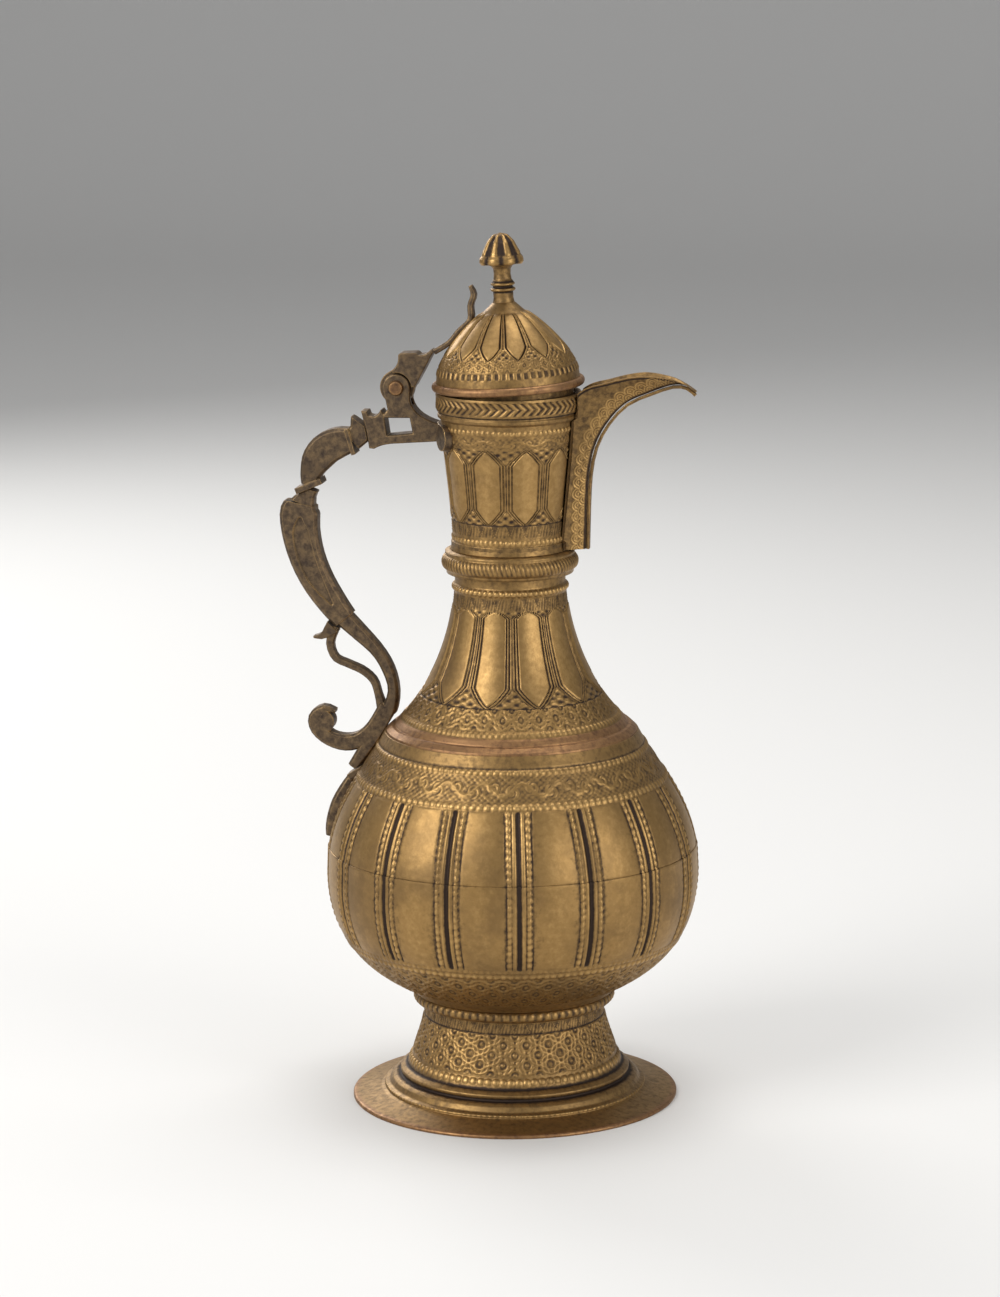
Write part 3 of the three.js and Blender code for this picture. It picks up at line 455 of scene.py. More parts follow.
def chase_dome(degrees, z, radius):
    """A toothed band, a frieze of rings and thirteen petals that run up to the crown."""
    teeth, petals, phase, widest = 60, 13, 10.5, 0.9
    out = 0.2 * np.sign(np.cos(degrees / 360 * teeth * TAU)) * band(z, 6.4, 8.8, edge=0.4)
    out = out + interlace(degrees, z, low=9.4, high=13.6, count=36, rows=1, depth=0.4)
    turn = (degrees - phase) / 360 * petals
    u = np.abs(turn - np.round(turn)) * 2
    gap = widest * np.clip((z - 13.2) / 5, 0, 1) ** 0.7 - u
    plain = smooth(0.1, 0.24, gap) * (0.55 + 0.3 * crown(u / widest))
    waves = 0.5 + 0.5 * np.cos(turn * TAU * 4) * np.cos(z * 2.6)
    ground = 0.8 * waves * smooth(-0.06, -0.12, gap)
    raised = np.maximum(np.maximum(hump(gap, 0.01, 0.07), plain), ground)
    sunk = SUNK_PANELS + 0.7 * hump(gap, 0.13, 0.05)
    return out + 0.8 * (raised - sunk) * smooth(13, 14, z) * (1 - smooth(29, 30.5, z))


def chase_skirt(degrees, z, radius):
    """Eight lobes round the finial's skirt, as many ribs up its bud, and fine rings on its stem."""
    lobe_count = 8
    lobes = np.abs(np.sin(degrees / 360 * lobe_count * math.pi))
    skirt = 0.55 * (lobes - 0.5) * band(z, 48.8, 52.4, edge=0.8)
    bud = (0.5 * hump(lobes, 1, 0.22) - 0.2) * smooth(52.2, 53, z) * (1 - smooth(59.5, 61, z))
    rings = 0.25 * np.cos((z - 38.9) / 2.1 * TAU) * band(z, 37.6, 42.6)
    return skirt + bud + rings


# Profiles of the turned sections, radius and height in millimetres

def outline_bowl():
    """The bowl's side up to the seam."""
    curve = bezier([(40.6, BOWL_LOW), (43.6, 49.9), (BELLY_RADIUS, 55.1), (BELLY_RADIUS, BELLY_HEIGHT)], 260)
    return np.concatenate([curve, [(BELLY_RADIUS, 96.5), (74.45, 99), (74.3, 101.5), (74.05, SEAM)]])


def outline_shoulder():
    """From the seam to the shoulder ring."""
    curve = bezier([(BELLY_RADIUS, BELLY_HEIGHT), (BELLY_RADIUS, 120.5), (59.1, 134.5), (50.8, SHOULDER_TOP)],
                   400)
    return curve[curve[:, 1] >= SEAM]


def outline_neck():
    """The lower neck from the shoulder ring to the collar, with its beaded ring."""
    ring_out, ring_half = 0.7, 1.5
    curve = bezier([(44.5, NECK_LOW), (29.4, 171.6), (22, 195.6), (22, COLLAR_LOW)], 400)
    ring = np.clip(1 - ((curve[:, 1] - NECK_RING) / ring_half) ** 2, 0, 1) ** 0.5 * ring_out
    return curve + np.stack([ring, 0 * ring], -1)


def outline_upper_neck():
    """The upper neck from its step to the mouth."""
    curve = bezier([(22.5, 228.8), (22.5, 243.2), (25.5, 261.1), (26.6, MOUTH_LOW)], 300)
    return np.concatenate([[(23.3, COLLAR_TOP), (23.3, 228.2)], curve])


def outline_dome():
    """The dome over the lid's rim, in the lid's own frame, up to the finial's collar."""
    side = bezier([(28.2, 5.6), (28.2, 11.5), (15.6, 26.3), (8.4, 30)], 200)
    return np.concatenate([[(28.5, 3.3), (28.0, 4.2)], side, [(6.6, 30.9), (5.3, 31.8), (4.4, 33.8)]])


def roll(radius, height, out, up, half_turn, count):
    """A rounded moulding: part of an ellipse, half_turn degrees to either side of straight out."""
    a = np.radians(np.linspace(-half_turn, half_turn, count))
    return np.stack([radius + out * np.cos(a), height + up * np.sin(a)], -1)


def bore_of(radius, top, bottom):
    """A straight bore, from its top to its bottom."""
    return np.array([(radius, top), (radius, bottom)])


def spline(points, samples):
    """A smooth line through its points, with each tangent half the step between the neighbours."""
    p = np.array(points, float)
    along = np.linspace(0, len(p) - 1, samples)
    i = np.minimum(along.astype(int), len(p) - 2)
    t = (along - i)[:, None]
    a, b, c, d = p[np.maximum(i - 1, 0)], p[i], p[i + 1], p[np.minimum(i + 2, len(p) - 1)]
    v0, v1 = (c - a) / 2, (d - b) / 2
    return (2 * b - 2 * c + v0 + v1) * t ** 3 + (-3 * b + 3 * c - 2 * v0 - v1) * t ** 2 + v0 * t + b


def spout_lines(samples):
    """The spout's keel and rim as shares of its reach and height, in (out, up) millimetres."""
    keel = [(0, 0), (0.012, 0.27), (0.03, 0.47), (0.083, 0.645), (0.2, 0.795), (0.37, 0.917),
            (0.588, 0.985), (0.79, 1.032), (0.91, 1.024), (0.985, 0.982)]
    rim = [(-0.32, 0), (-0.32, 0.27), (-0.32, 0.5), (-0.32, 0.73), (-0.09, 1.0), (0.2, 1.077), (0.49, 1.117),
           (0.75, 1.1), (0.9, 1.06), (1, 1.014)]
    size = np.array([SPOUT_REACH - SPOUT_OUT, MOUTH_TOP - SPOUT_LOW])
    return [spline(line, samples) * size + [SPOUT_OUT, SPOUT_LOW] for line in (keel, rim)]


def scale_arcs(s, d):
    """Two rows of overlapping scales along the keel: each is raised arcs about a centre on its row."""
    scale_length, scale_radius, row_step, first_row, arc_step = 4.4, 2.5, 2.2, 1.1, 0.95
    total = 0 * s
    for row in range(2):
        middle = first_row + row * row_step
        u = (s / scale_length + 0.5 * row) % 1 - 0.5
        distance = np.hypot(u * scale_length, d - middle)
        rings = 0.5 + 0.5 * np.cos(distance * TAU / arc_step - 1.2)
        total = np.where((distance < scale_radius) & (d >= middle - 0.1), rings, total)
    return total


# Node groups and materials

# Scales of the blotches, of the fine mottling and of the grit, in waves per metre
BLOTCH_SCALE = 38
FINE_SCALE = 420
GRIT_SCALE = 1500

# Relief that counts as the plain surface, and the radius of worn edges in metres
PLAIN_RELIEF = 0.62
FLAT_RELIEF = 0.42
EDGE_RADIUS = 0.0007


def node_group(name, inputs, outputs):
    """An empty shader group with the named sockets."""
    group = bpy.data.node_groups.new(name, "ShaderNodeTree")
    for label, kind, value in inputs:
        socket = group.interface.new_socket(label, in_out="INPUT", socket_type=kind)
        if value is not None:
            socket.default_value = value
    for label, kind in outputs:
        group.interface.new_socket(label, in_out="OUTPUT", socket_type=kind)
    return group, group.nodes.new("NodeGroupInput"), group.nodes.new("NodeGroupOutput")


def noise(tree, vector, scale, detail, rough):
    """A noise texture on the given coordinates."""
    node = tree.nodes.new("ShaderNodeTexNoise")
    node.inputs["Scale"].default_value = scale
    node.inputs["Detail"].default_value = detail
    node.inputs["Roughness"].default_value = rough
    tree.links.new(vector, node.inputs["Vector"])
    return node.outputs["Fac"]


def ramp(tree, value, low, high):
    """A smooth step of a value from low to high."""
    node = tree.nodes.new("ShaderNodeMapRange")
    node.interpolation_type = "SMOOTHSTEP"
    node.inputs["From Min"].default_value = low
    node.inputs["From Max"].default_value = high
    tree.links.new(value, node.inputs["Value"])
    return node.outputs["Result"]


def mix(tree, factor, a, b):
    """A blend of two colours by a mask."""
    node = tree.nodes.new("ShaderNodeMix")
    node.data_type = "RGBA"
    for socket, value in ((node.inputs[0], factor), (node.inputs[6], a), (node.inputs[7], b)):
        if hasattr(value, "is_linked"):
            tree.links.new(value, socket)
        else:
            socket.default_value = value
    return node.outputs[2]


def maths(tree, kind, a, b):
    """One arithmetic step on two values."""
    node = tree.nodes.new("ShaderNodeMath")
    node.operation = kind
    for socket, value in zip(node.inputs, (a, b)):
        if hasattr(value, "is_linked"):
            tree.links.new(value, socket)
        else:
            socket.default_value = value
    return node.outputs[0]


def make_aged_group():
    """Aged metal: patina gathers low in the relief and in blotches, and high places are worn bright."""
    group, given, result = node_group(
        "aged_metal",
        [("Vector", "NodeSocketVector", None), ("Relief", "NodeSocketFloat", 0.5),
         ("Metal", "NodeSocketColor", None), ("Patina", "NodeSocketColor", None),
         ("Worn", "NodeSocketColor", None), ("Age", "NodeSocketFloat", 0.5)],
        [("Colour", "NodeSocketColor"), ("Roughness", "NodeSocketFloat"), ("Height", "NodeSocketFloat")])
    vector = given.outputs["Vector"]
    blotch = noise(group, vector, BLOTCH_SCALE, detail=6, rough=0.6)
    fine = noise(group, vector, FINE_SCALE, detail=5, rough=0.65)
    grit = noise(group, vector, GRIT_SCALE, detail=3, rough=0.6)
    most_dark, fine_share, worn_share = 0.92, 0.5, 0.55
    mottling = maths(group, "MULTIPLY", maths(group, "SUBTRACT", fine, 0.5), fine_share)
    rough_relief = maths(group, "ADD", given.outputs["Relief"], mottling)
    low_places = maths(group, "SUBTRACT", 1.0, ramp(group, rough_relief, low=0.22, high=PLAIN_RELIEF))
    aged = maths(group, "MULTIPLY", ramp(group, blotch, low=0.42, high=0.68), given.outputs["Age"])
    dark = maths(group, "MULTIPLY", maths(group, "MAXIMUM", low_places, aged), most_dark)
    high_places = ramp(group, rough_relief, low=PLAIN_RELIEF, high=0.95)
    worn = maths(group, "MULTIPLY", high_places, ramp(group, blotch, low=0.75, high=0.35))
    warm = maths(group, "MULTIPLY", fine, worn_share)
    metal = mix(group, warm, given.outputs["Metal"], given.outputs["Worn"])
    colour = mix(group, worn, mix(group, dark, metal, given.outputs["Patina"]), given.outputs["Worn"])
    least_rough = 0.33
    dullness = maths(group, "MULTIPLY", maths(group, "ADD", dark, grit), 0.2)
    height = maths(group, "ADD", fine, maths(group, "MULTIPLY", grit, 0.5))
    group.links.new(colour, result.inputs["Colour"])
    group.links.new(maths(group, "ADD", least_rough, dullness), result.inputs["Roughness"])
    group.links.new(height, result.inputs["Height"])
    return group


def edge_wear(tree, radius):
    """A relief that is high on edges: how far a rounded normal turns from the true one. It comes
    with the Bevel node, whose normal also softens the edges."""
    bevel = tree.nodes.new("ShaderNodeBevel")
    bevel.samples = 6
    bevel.inputs["Radius"].default_value = radius
    true = tree.nodes.new("ShaderNodeNewGeometry")
    dot = tree.nodes.new("ShaderNodeVectorMath")
    dot.operation = "DOT_PRODUCT"
    tree.links.new(bevel.outputs["Normal"], dot.inputs[0])
    tree.links.new(true.outputs["Normal"], dot.inputs[1])
    turned = maths(tree, "SUBTRACT", 1.0, dot.outputs["Value"])
    raised = maths(tree, "MULTIPLY", ramp(tree, turned, low=0.01, high=0.16), 0.5)
    return maths(tree, "ADD", FLAT_RELIEF, raised), bevel


def rim_copper(tree, place, metal, copper):
    """Brass that turns to bare copper at the foot's outer edge, by the distance from the axis."""
    axis = tree.nodes.new("ShaderNodeMapping")
    axis.inputs["Location"].default_value = (-AXIS_X * MM, 0, 0)
    axis.inputs["Scale"].default_value = (1, 1, 0)
    tree.links.new(place.outputs["Object"], axis.inputs["Vector"])
    length = tree.nodes.new("ShaderNodeVectorMath")
    length.operation = "LENGTH"
    tree.links.new(axis.outputs["Vector"], length.inputs[0])
    height = tree.nodes.new("ShaderNodeSeparateXYZ")
    tree.links.new(place.outputs["Object"], height.inputs[0])
    low = maths(tree, "SUBTRACT", 1.0, ramp(tree, height.outputs["Z"], low=0.0016, high=0.0022))
    far_out = ramp(tree, length.outputs["Value"], low=0.0628, high=0.065)
    edge = maths(tree, "MULTIPLY", far_out, low)
    return mix(tree, edge, (*metal, 1), (*copper, 1))


def aged_material(name, group, metal, age, has_relief):
    """A metal with the shared ageing. Its relief comes from the piece's own attribute, or else from
    its edges."""
    look = bpy.context.scene.ewer_look
    grain_depth = 0.00012
    grain_strength = 0.5
    bronze_wear = 0.8
    material = bpy.data.materials.new(name)
    material.use_nodes = True
    tree = material.node_tree
    shader = tree.nodes["Principled BSDF"]
    shader.inputs["Metallic"].default_value = 0.92
    aged = tree.nodes.new("ShaderNodeGroup")
    aged.node_tree = group
    place = tree.nodes.new("ShaderNodeTexCoord")
    tree.links.new(place.outputs["Object"], aged.inputs["Vector"])
    aged.inputs["Metal"].default_value = (*metal, 1)
    aged.inputs["Patina"].default_value = (*look.patina, 1)
    aged.inputs["Worn"].default_value = (*look.worn, 1)
    aged.inputs["Age"].default_value = age
    if name == "chased_brass":
        tree.links.new(rim_copper(tree, place, metal, look.copper), aged.inputs["Metal"])
    if has_relief:
        relief = tree.nodes.new("ShaderNodeAttribute")
        relief.attribute_name = "relief"
        tree.links.new(relief.outputs["Fac"], aged.inputs["Relief"])
    else:
        edges, bevel = edge_wear(tree, EDGE_RADIUS)
        tree.links.new(edges, aged.inputs["Relief"])
    if name == "cast_bronze":
        aged.inputs["Worn"].default_value = (*[bronze_wear * c for c in look.worn], 1)
    grain = tree.nodes.new("ShaderNodeBump")
    grain.inputs["Strength"].default_value = grain_strength
    grain.inputs["Distance"].default_value = grain_depth
    tree.links.new(aged.outputs["Height"], grain.inputs["Height"])
    if not has_relief:
        tree.links.new(bevel.outputs["Normal"], grain.inputs["Normal"])
    tree.links.new(aged.outputs["Colour"], shader.inputs["Base Color"])
    tree.links.new(aged.outputs["Roughness"], shader.inputs["Roughness"])
    tree.links.new(grain.outputs["Normal"], shader.inputs["Normal"])
    return material


def look_of(name):
    """One of the ewer's finishes, made once and shared by its pieces."""
    if name in bpy.data.materials:
        return bpy.data.materials[name]
    look = bpy.context.scene.ewer_look
    group = bpy.data.node_groups.get("aged_metal") or make_aged_group()
    finishes = {
        "chased_brass": (look.brass, 0.35, True),
        "chased_copper": (look.copper, 0.4, True),
        "plain_brass": (look.brass, 0.55, False),
        "plain_copper": (look.copper, 0.5, False),
        "cast_bronze": (look.bronze, 0.6, False),
    }
    metal, age, has_relief = finishes[name]
    return aged_material(name, group, tuple(metal), age, has_relief)


def dress(obj, finish, body="ewer", node=None):
    """Gives a new piece its finish and body, and lets it stand for its node."""
    obj.data.materials.append(look_of(finish))
    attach(obj, body)
    if node:
        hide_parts(node)
    return obj


def paint(node, finish):
    """Gives a CAD node a better finish in its own material slots."""
    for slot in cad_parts[node].material_slots:
        slot.material = look_of(finish)


# Operators, one for each piece or group of like pieces

class EWER_OT_foot(bpy.types.Operator):
    """Chased foot and the ring above it"""

    bl_idname = "ewer.foot"
    bl_label = "Foot"

    def execute(self, context):
        columns = context.scene.ewer_look.columns
        rim = [(60.7, 0), (65.7, 0), (65.7, 0.9), (65.2, 1.4), (60, 2.4), (54, 3.7), (52.6, 4.3),
               (52.5, 5.4), (50.8, 6.1), (49.7, 8.0), (48.4, 9.0), (46.3, 9.8), (46.4, 11.6),
               (44.4, 13.2), (43, 14.5), (41.4, 17.3)]
        cone = bezier([rim[-1], (39.8, 24.3), (36.2, 30.3), (36.2, FOOT_TOP)], 70)[1:]
        outer = np.concatenate([resample(rim, 0.5), cone])
        inner = np.array([(34.7, FOOT_TOP), (34.8, 33), (36, 26), (38, 20), (40.4, 13.5), (43.9, 8.2),
                          (50.9, 3)])
        dress(revolve("foot_chased", outer, inner, columns, chase_foot), "chased_brass", node="foot")
        ring = roll(radius=38.2, height=41.7, out=2.4, up=2.44, half_turn=78, count=30)
        bore = bore_of(33.4, BOWL_LOW - SEAT_GAP / 2, FOOT_TOP + SEAT_GAP / 2)
        dress(revolve("foot_ring_chased", ring, bore, columns // 2, chase_foot_ring),
              "chased_brass", node="foot_ring")
        return {"FINISHED"}


class EWER_OT_belly(bpy.types.Operator):
    """Fluted bowl and shoulder with their beaded and leafy bands"""

    bl_idname = "ewer.belly"
    bl_label = "Belly"

    def execute(self, context):
        columns = context.scene.ewer_look.columns
        wall, shoulder_wall, floor_height = 1.5, 1.9, 50
        bowl = resample(thin(outline_bowl(), 6), 0.62)
        inside = outline_bowl()[::-26] - [wall, 0]
        inside = inside[inside[:, 1] > floor_height]
        floor = np.array([(30, 47), (8, 46.5), (0.5, 46.5)])
        base = np.array([(0.5, 44.3), (20, 44.25), (39, 44.22)])
        obj = revolve("belly_bowl", np.concatenate([base, bowl]), np.concatenate([inside, floor]), columns,
                      chase_belly, round_to_axis=True)
        dress(obj, "chased_brass", node="lower_bowl")
        top = resample(thin(outline_shoulder(), 6), 0.55)
        inside = outline_shoulder()[::-30] - [shoulder_wall, 0]
        obj = revolve("belly_shoulder", top, inside, columns, chase_belly)
        dress(obj, "chased_brass", node="shoulder_shell")
        return {"FINISHED"}


class EWER_OT_neck(bpy.types.Operator):
    """Lower neck with pointed panels, the shoulder ring below it and the collar above it"""

    bl_idname = "ewer.neck"
    bl_label = "Neck"

    def execute(self, context):
        columns = context.scene.ewer_look.columns * 2 // 3
        wall, ring_columns = 1.9, 240
        cone = resample(thin(outline_neck(), 5), 0.5)
        inside = outline_neck()[::-32] - [wall, 0]
        dress(revolve("neck_lower", cone, inside, columns, chase_neck), "chased_brass", node="neck_cone")
        ring = resample([(50.2, SHOULDER_TOP), (50, 151.6), (48, 153.4), (46.7, 153.6), (46.5, 154.1),
                         (45.4, 155.6), (44.8, NECK_LOW)], 0.3)
        bore = bore_of(41.9, NECK_LOW, SHOULDER_TOP)
        dress(revolve("shoulder_ring_turned", ring, bore, ring_columns), "chased_copper",
              node="shoulder_ring")
        low, high = COLLAR_LOW + SEAT_GAP, COLLAR_TOP - SEAT_GAP
        bulge = roll(radius=24, height=219.6, out=3.2, up=3.4, half_turn=60, count=26)
        collar = np.concatenate([[(23.4, low), (25.3, 215.3), (25.4, 216.2)], bulge,
                                 [(25.8, 223.2), (25.8, 224), (23.8, high)]])
        dress(revolve("neck_collar_turned", collar, bore_of(20.5, high, low), columns, chase_collar),
              "chased_brass", node="neck_collar")
        return {"FINISHED"}


class EWER_OT_upper_neck(bpy.types.Operator):
    """Chased sheet over the upper neck, left open behind the spout"""

    bl_idname = "ewer.upper_neck"
    bl_label = "Upper neck"

    def execute(self, context):
        open_half, columns = math.radians(17), 440
        lift, back_share = 0.3, 0.996
        low_relief, back_relief = 0.6, 0.3
        line = resample(thin(outline_upper_neck(), 4), 0.5)
        line[0, 1] += SEAT_GAP
        phi = np.linspace(open_half, TAU - open_half, columns)
        degrees = np.degrees(phi)[None, :] - FRONT
        height = chase_upper_neck(degrees + 0 * line[:, 1:], line[:, 1:] + 0 * degrees, line[:, :1])
        radius = line[:, :1] + lift + height
        up = line[:, 1:] + 0 * radius
        shell = np.stack([radius * np.cos(phi), radius * np.sin(phi), up], -1)
        behind = line[:, :1] * back_share
        back = np.stack([behind * np.cos(phi), behind * np.sin(phi), up], -1)
        rows = len(line)
        points = np.concatenate([shell, back[::-1]]).reshape(-1, 3) + [AXIS_X, 0, 0]
        quads = grid_quads(rows * 2, columns, True, False)
        i = np.arange(rows - 1)
        far = 2 * rows - 1
        ends = []
        for j, flip in ((0, False), (columns - 1, True)):
            q = np.stack([i * columns + j, (i + 1) * columns + j, (far - i - 1) * columns + j,
                          (far - i) * columns + j], -1)
            ends.append(q[:, ::-1] if flip else q)
        front_relief = (height + low_relief) / (2 * low_relief)
        relief = np.concatenate([front_relief, 0 * height + back_relief]).ravel()
        obj = put_mesh("upper_neck_sheet", points, np.concatenate([quads, *ends]), (), relief)
        dress(obj, "chased_brass")
        paint("upper_neck", "plain_brass")
        return {"FINISHED"}


class EWER_OT_mouth(bpy.types.Operator):
    """Plaited mouth band"""

    bl_idname = "ewer.mouth"
    bl_label = "Mouth band"

    def execute(self, context):
        columns = 540
        low = MOUTH_LOW + SEAT_GAP
        outer = resample([(27.0, low), (28.1, 277.8), (28.2, 278.8), (27.8, 279.4), (28.5, 280.2),
                          (28.7, 281.4), (28.5, 285.8), (28.9, 286.4), (28.7, MOUTH_TOP)], 0.3)
        inner = np.array([(26.6, MOUTH_TOP), (26.6, 279.2), (25.1, low)])
        dress(revolve("mouth_plaited", outer, inner, columns, chase_mouth), "chased_brass",
              node="mouth_band")
        return {"FINISHED"}


class EWER_OT_lid(bpy.types.Operator):
    """Domed lid with petals, its rim and its bud finial"""

    bl_idname = "ewer.lid"
    bl_label = "Lid"

    def execute(self, context):
        dome_columns, rim_columns, finial_columns = 540, 360, 192
        dome = resample(thin(outline_dome(), 4), 0.42)
        inner = np.array([(2.1, 33.8), (2.1, 31.2), (5.2, 31.2), (6, 27.8), (14, 24), (21, 17), (25.2, 11),
                          (26.8, 6), (26.9, 3.3)])
        dress(revolve("lid_petals", dome, inner, dome_columns, chase_dome, lid=True), "chased_brass",
              "lid", "lid_dome")
        rim = roll(radius=28.9, height=1.65, out=1.4, up=1.63, half_turn=80, count=24)
        dress(revolve("lid_rim_turned", rim, bore_of(26.1, 3.28, 0.02), rim_columns, lid=True),
              "chased_copper", "lid", "lid_rim")
        tenon = [(0.4, 27.4), (2.5, 27.4), (2.9, 28.1), (1.8, 28.5), (1.8, 33.8)]
        stem = [(4.3, 33.8), (3.9, 35.6), (4.0, 37.6), (4.7, 38.4), (4.7, 39.4), (4.0, 40.2), (4.6, 41),
                (4.5, 42), (3.6, 42.8), (3.3, 45), (3.5, 47), (4.6, 48.6)]
        bud = [(8.3, 49.1), (8.8, 50), (8.6, 51.2), (7.9, 52.2), (7.4, 53.6), (6.7, 54.9), (5.3, 57.6),
               (2.8, 60.3), (0.4, 61.1)]
        end = np.array([(0.2, 61.15)])
        whole = resample(tenon + stem + bud, 0.35)
        dress(revolve("finial_bud", whole, end, finial_columns, chase_skirt, lid=True, low=-0.4, high=0.5,
                      round_to_axis=True), "chased_brass", "lid", "finial")
        return {"FINISHED"}


class EWER_OT_spout(bpy.types.Operator):
    """The spout's two cheeks, engraved with rows of scales along the keel"""

    bl_idname = "ewer.spout"
    bl_label = "Spout cheeks"

    def execute(self, context):
        for side, name in ((-1, "spout_cheek_right"), (1, "spout_cheek_left")):
            dress(self.cheek(side, name + "_engraved"), "chased_brass", node=name)
        return {"FINISHED"}

    def cheek(self, side, name):
        """A sheet between the keel and the rim: its half width grows with the distance from the keel.
        Beside the neck it is held clear of it, at a radius that follows the neck's height."""
        rows, columns = 420, 84
        keel_wall, cheek_wall, thinnest = 1.5, 1.3, 0.15
        root_half, tip_loss, widest, spread = 1.6, 0.64, 7.2, 0.68
        cut, edge_cut = 0.24, 0.2
        keel, rim = spout_lines(rows)
        inward = rim - keel
        depth = np.hypot(inward[:, 0], inward[:, 1])[:, None]
        inward = inward / depth
        along = np.gradient(keel, axis=0)
        along = along / np.hypot(along[:, 0], along[:, 1])[:, None]
        least_lean = 0.5
        lean = np.maximum(least_lean, inward[:, 1] * along[:, 0] - inward[:, 0] * along[:, 1])[:, None]
        root = keel_wall / lean
        t = np.linspace(0, 1, columns)[None, :]
        d = root + (depth - root) * t
        x = keel[:, :1] + inward[:, :1] * d
        z = keel[:, 1:] + inward[:, 1:] * d
        share = np.linspace(0, 1, rows)[:, None]
        narrow = root_half - tip_loss * share
        wide = np.minimum(widest, narrow + spread * depth)
        half = narrow + (wide - narrow) * t
        reach = np.concatenate([[0], np.cumsum(np.hypot(*np.diff(keel, axis=0).T))])[:, None]
        scales = scale_arcs(reach + 0 * d, (d - root) + 0 * reach)
        edge = hump(depth - d, 0.9, 0.3) + hump(d - root, 0.35, 0.22)
        height = cut * (scales - 0.5) - edge_cut * edge
        height = height * smooth(0, 0.5, depth - d)
        neck_heights = [224, 228.2, 228.8, 262, MOUTH_LOW, 277.6, 281.4, MOUTH_TOP]
        neck_radii = [23.9, 23.9, 23.1, 26.1, 27.4, 28.7, 29.3, 29.5]
        neck = np.interp(z, neck_heights, neck_radii)
        inner = np.maximum(half - cheek_wall, thinnest)
        beside_neck = 288
        surfaces = []
        for y in (half + height, inner):
            bound = np.sqrt(np.clip(neck ** 2 - y ** 2, 0, None))
            clear = np.where(z < beside_neck, np.maximum(x, bound), x)
            surfaces.append(np.stack([clear + AXIS_X, side * y, z + 0 * y], -1))
        outer, inside = surfaces
        points = np.concatenate([outer, inside[:, ::-1]], axis=1)
        quads = grid_quads(rows, 2 * columns, False, True)
        j = np.arange(columns - 1)
        far = 2 * columns - 1
        cap = np.stack([j, j + 1, far - j - 1, far - j], -1)
        top = cap[:, ::-1] + (rows - 1) * 2 * columns
        quads = np.concatenate([quads, cap, top])
        quads = quads if side < 0 else quads[:, ::-1]
        relief = np.concatenate([PLAIN_RELIEF + height * 1.6, 0 * height + 0.45], axis=1)
        return put_mesh(name, points.reshape(-1, 3), quads, (), relief)


class EWER_OT_fittings(bpy.types.Operator):
    """Aged finishes on the spout's keel, the lid's hidden parts, the handle, the hinge and the strap"""

    bl_idname = "ewer.fittings"
    bl_label = "Spout, handle and hinge"

    def execute(self, context):
        for node in ("spout_keel", "lid_bezel", "finial_rove"):
            paint(node, "plain_brass")
        for node in ("handle_bracket", "handle_upper", "handle_lower", "handle_leaf", "lid_lever",
                     "lid_strap"):
            paint(node, "cast_bronze")
        paint("hinge_pin", "plain_copper")
        return {"FINISHED"}


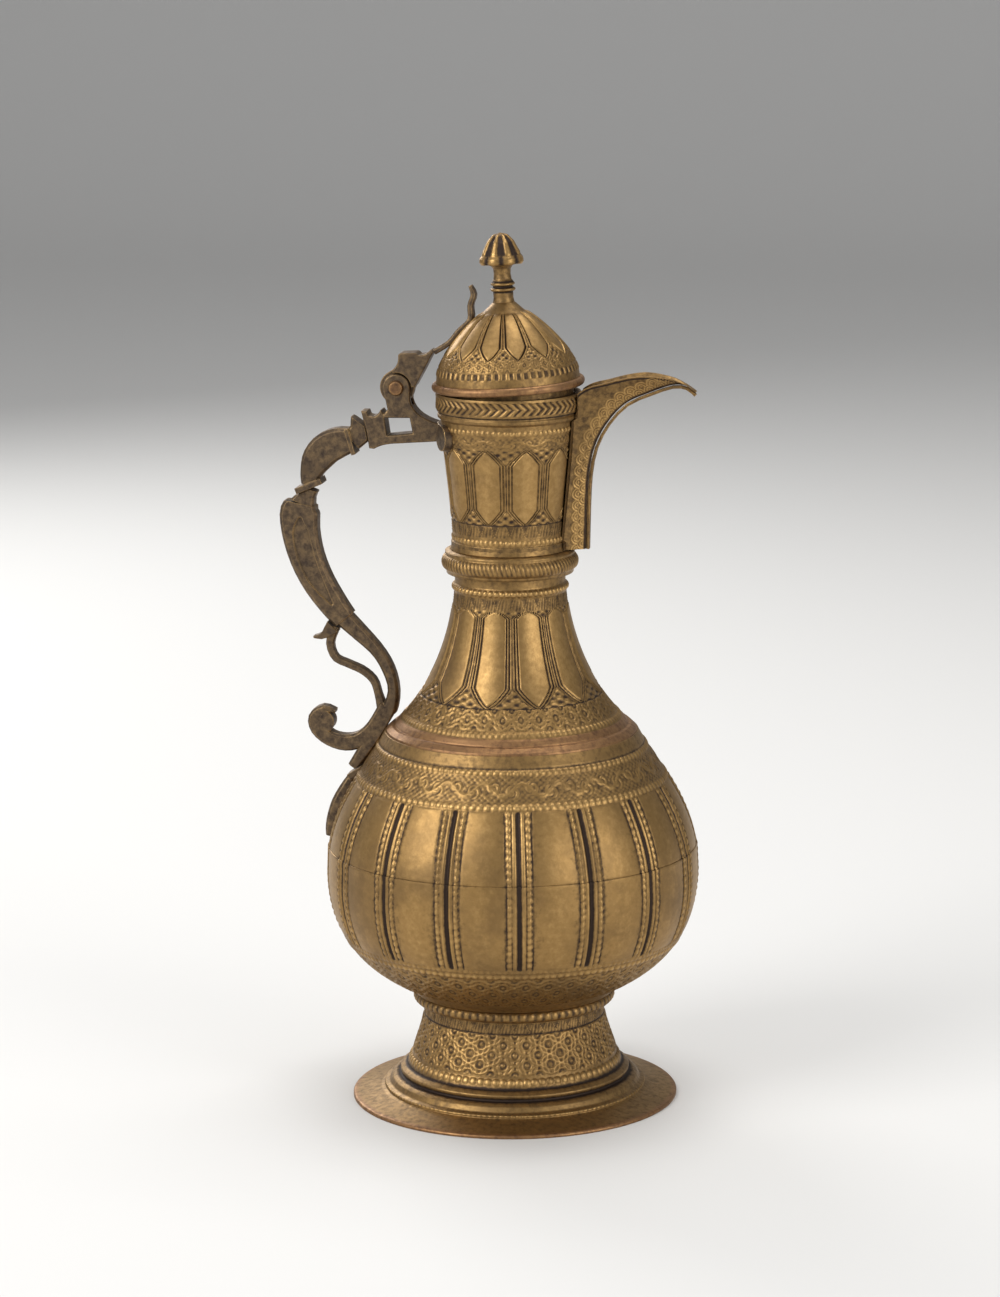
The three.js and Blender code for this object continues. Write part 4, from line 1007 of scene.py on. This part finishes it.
class EWER_OT_stage(bpy.types.Operator):
    """Floor, soft lamps and the camera at the photograph's viewing angle"""

    bl_idname = "ewer.stage"
    bl_label = "Stage"

    def execute(self, context):
        stage = context.scene.ewer_stage
        self.floor(stage)
        self.lamps(context, stage)
        self.camera(context, stage)
        return {"FINISHED"}

    def floor(self, stage):
        """A pale floor that curves up into a backdrop: flat, then a quarter circle, then upright."""
        rows, flat_end, bend_end = 60, 0.6, 0.8
        half_length, half_width, bend_radius, wall_height = 3.0, 6.0, 1.2, 4.0
        t = np.linspace(0, 1, rows)[:, None]
        bend = np.clip((t - flat_end) / (bend_end - flat_end), 0, 1) * math.pi / 2
        y = 2 * half_length * np.minimum(t / flat_end, 1) - half_length + bend_radius * np.sin(bend)
        wall = wall_height * np.clip((t - bend_end) / (1 - bend_end), 0, 1)
        z = bend_radius * (1 - np.cos(bend)) + wall
        x = np.array([-half_width, half_width])
        points = np.stack([x + 0 * y, y + 0 * x, z + 0 * x], -1)
        obj = put_mesh("floor", points.reshape(-1, 3) / MM, grid_quads(rows, 2, False, False))
        obj.data.flip_normals()
        material = bpy.data.materials.new("pale_floor")
        material.use_nodes = True
        shader = material.node_tree.nodes["Principled BSDF"]
        shader.inputs["Base Color"].default_value = (*stage.floor, 1)
        shader.inputs["Roughness"].default_value = 0.8
        obj.data.materials.append(material)

    def lamps(self, context, stage):
        """Four soft square lamps round the ewer: a key at the left, a fill at the right, one above
        and one behind. Each has its place and size in metres, and its share of the key's power."""
        target = np.array([0, 0, 0.16])
        lamps = [("key", (-1.3, -1.3, 1.2), 1.2, 1.0), ("fill", (1.6, -1.0, 0.7), 1.1, 0.5),
                 ("top", (0.1, 0.3, 1.7), 1.0, 0.5), ("back", (-0.9, 1.2, 0.9), 0.8, 0.35)]
        for name, place, size, share in lamps:
            data = bpy.data.lights.new(name, "AREA")
            data.size = size
            data.energy = stage.key_power * share
            obj = bpy.data.objects.new(name, data)
            context.scene.collection.objects.link(obj)
            obj.location = place
            aim = target - np.array(place)
            tip = math.atan2(math.hypot(aim[0], aim[1]), -aim[2])
            obj.rotation_euler = (tip, 0, math.atan2(aim[1], aim[0]) - math.pi / 2)
        world = bpy.data.worlds.new("soft_room")
        world.use_nodes = True
        background = world.node_tree.nodes["Background"]
        background.inputs["Color"].default_value = (0.62, 0.63, 0.65, 1)
        background.inputs["Strength"].default_value = 0.5
        context.scene.world = world
        context.scene.view_settings.view_transform = "Standard"

    def camera(self, context, stage):
        """The camera that the photograph's ellipses and outline give."""
        data = bpy.data.cameras.new("photo_camera")
        data.sensor_fit = "VERTICAL"
        data.sensor_height = 36
        data.lens = stage.lens
        data.clip_end = 50
        obj = bpy.data.objects.new("photo_camera", data)
        context.scene.collection.objects.link(obj)
        obj.rotation_mode = "QUATERNION"
        x, y, z = CAMERA_PLACE
        obj.location = ((AXIS_X + x) * MM, y * MM, z * MM)
        turn = Matrix.Rotation(math.radians(CAMERA_TURN), 4, "Z")
        tip = Matrix.Rotation(math.pi / 2 - stage.pitch, 4, "X")
        level = Matrix.Rotation(math.radians(CAMERA_ROLL), 4, "Z")
        obj.rotation_quaternion = (turn @ tip @ level).to_quaternion()
        context.scene.camera = obj


class EWER_PT_panel(bpy.types.Panel):
    """Lists the ewer's pieces"""

    bl_idname = "EWER_PT_panel"
    bl_label = "Brass Ewer"
    bl_space_type = "VIEW_3D"
    bl_region_type = "UI"
    bl_category = "Ewer"

    def draw(self, context):
        layout = self.layout
        for name in ("brass", "patina", "worn", "copper", "bronze", "flute_depth", "columns"):
            layout.prop(context.scene.ewer_look, name)
        for step in STEPS:
            layout.operator(step.bl_idname)
        for name in ("lens", "pitch", "key_power", "floor"):
            layout.prop(context.scene.ewer_stage, name)


STEPS = (
    EWER_OT_stage, EWER_OT_foot, EWER_OT_belly, EWER_OT_neck, EWER_OT_upper_neck, EWER_OT_mouth,
    EWER_OT_spout, EWER_OT_lid, EWER_OT_fittings,
)
CLASSES = (EwerLook, EwerStage, *STEPS, EWER_PT_panel)


def register():
    for item in CLASSES:
        bpy.utils.register_class(item)
    bpy.types.Scene.ewer_look = PointerProperty(type=EwerLook)
    bpy.types.Scene.ewer_stage = PointerProperty(type=EwerStage)


def unregister():
    del bpy.types.Scene.ewer_stage
    del bpy.types.Scene.ewer_look
    for item in reversed(CLASSES):
        bpy.utils.unregister_class(item)


def main():
    register()
    for step in STEPS:
        kind, name = step.bl_idname.split(".")
        getattr(getattr(bpy.ops, kind), name)()


if __name__ == "__main__":
    main()
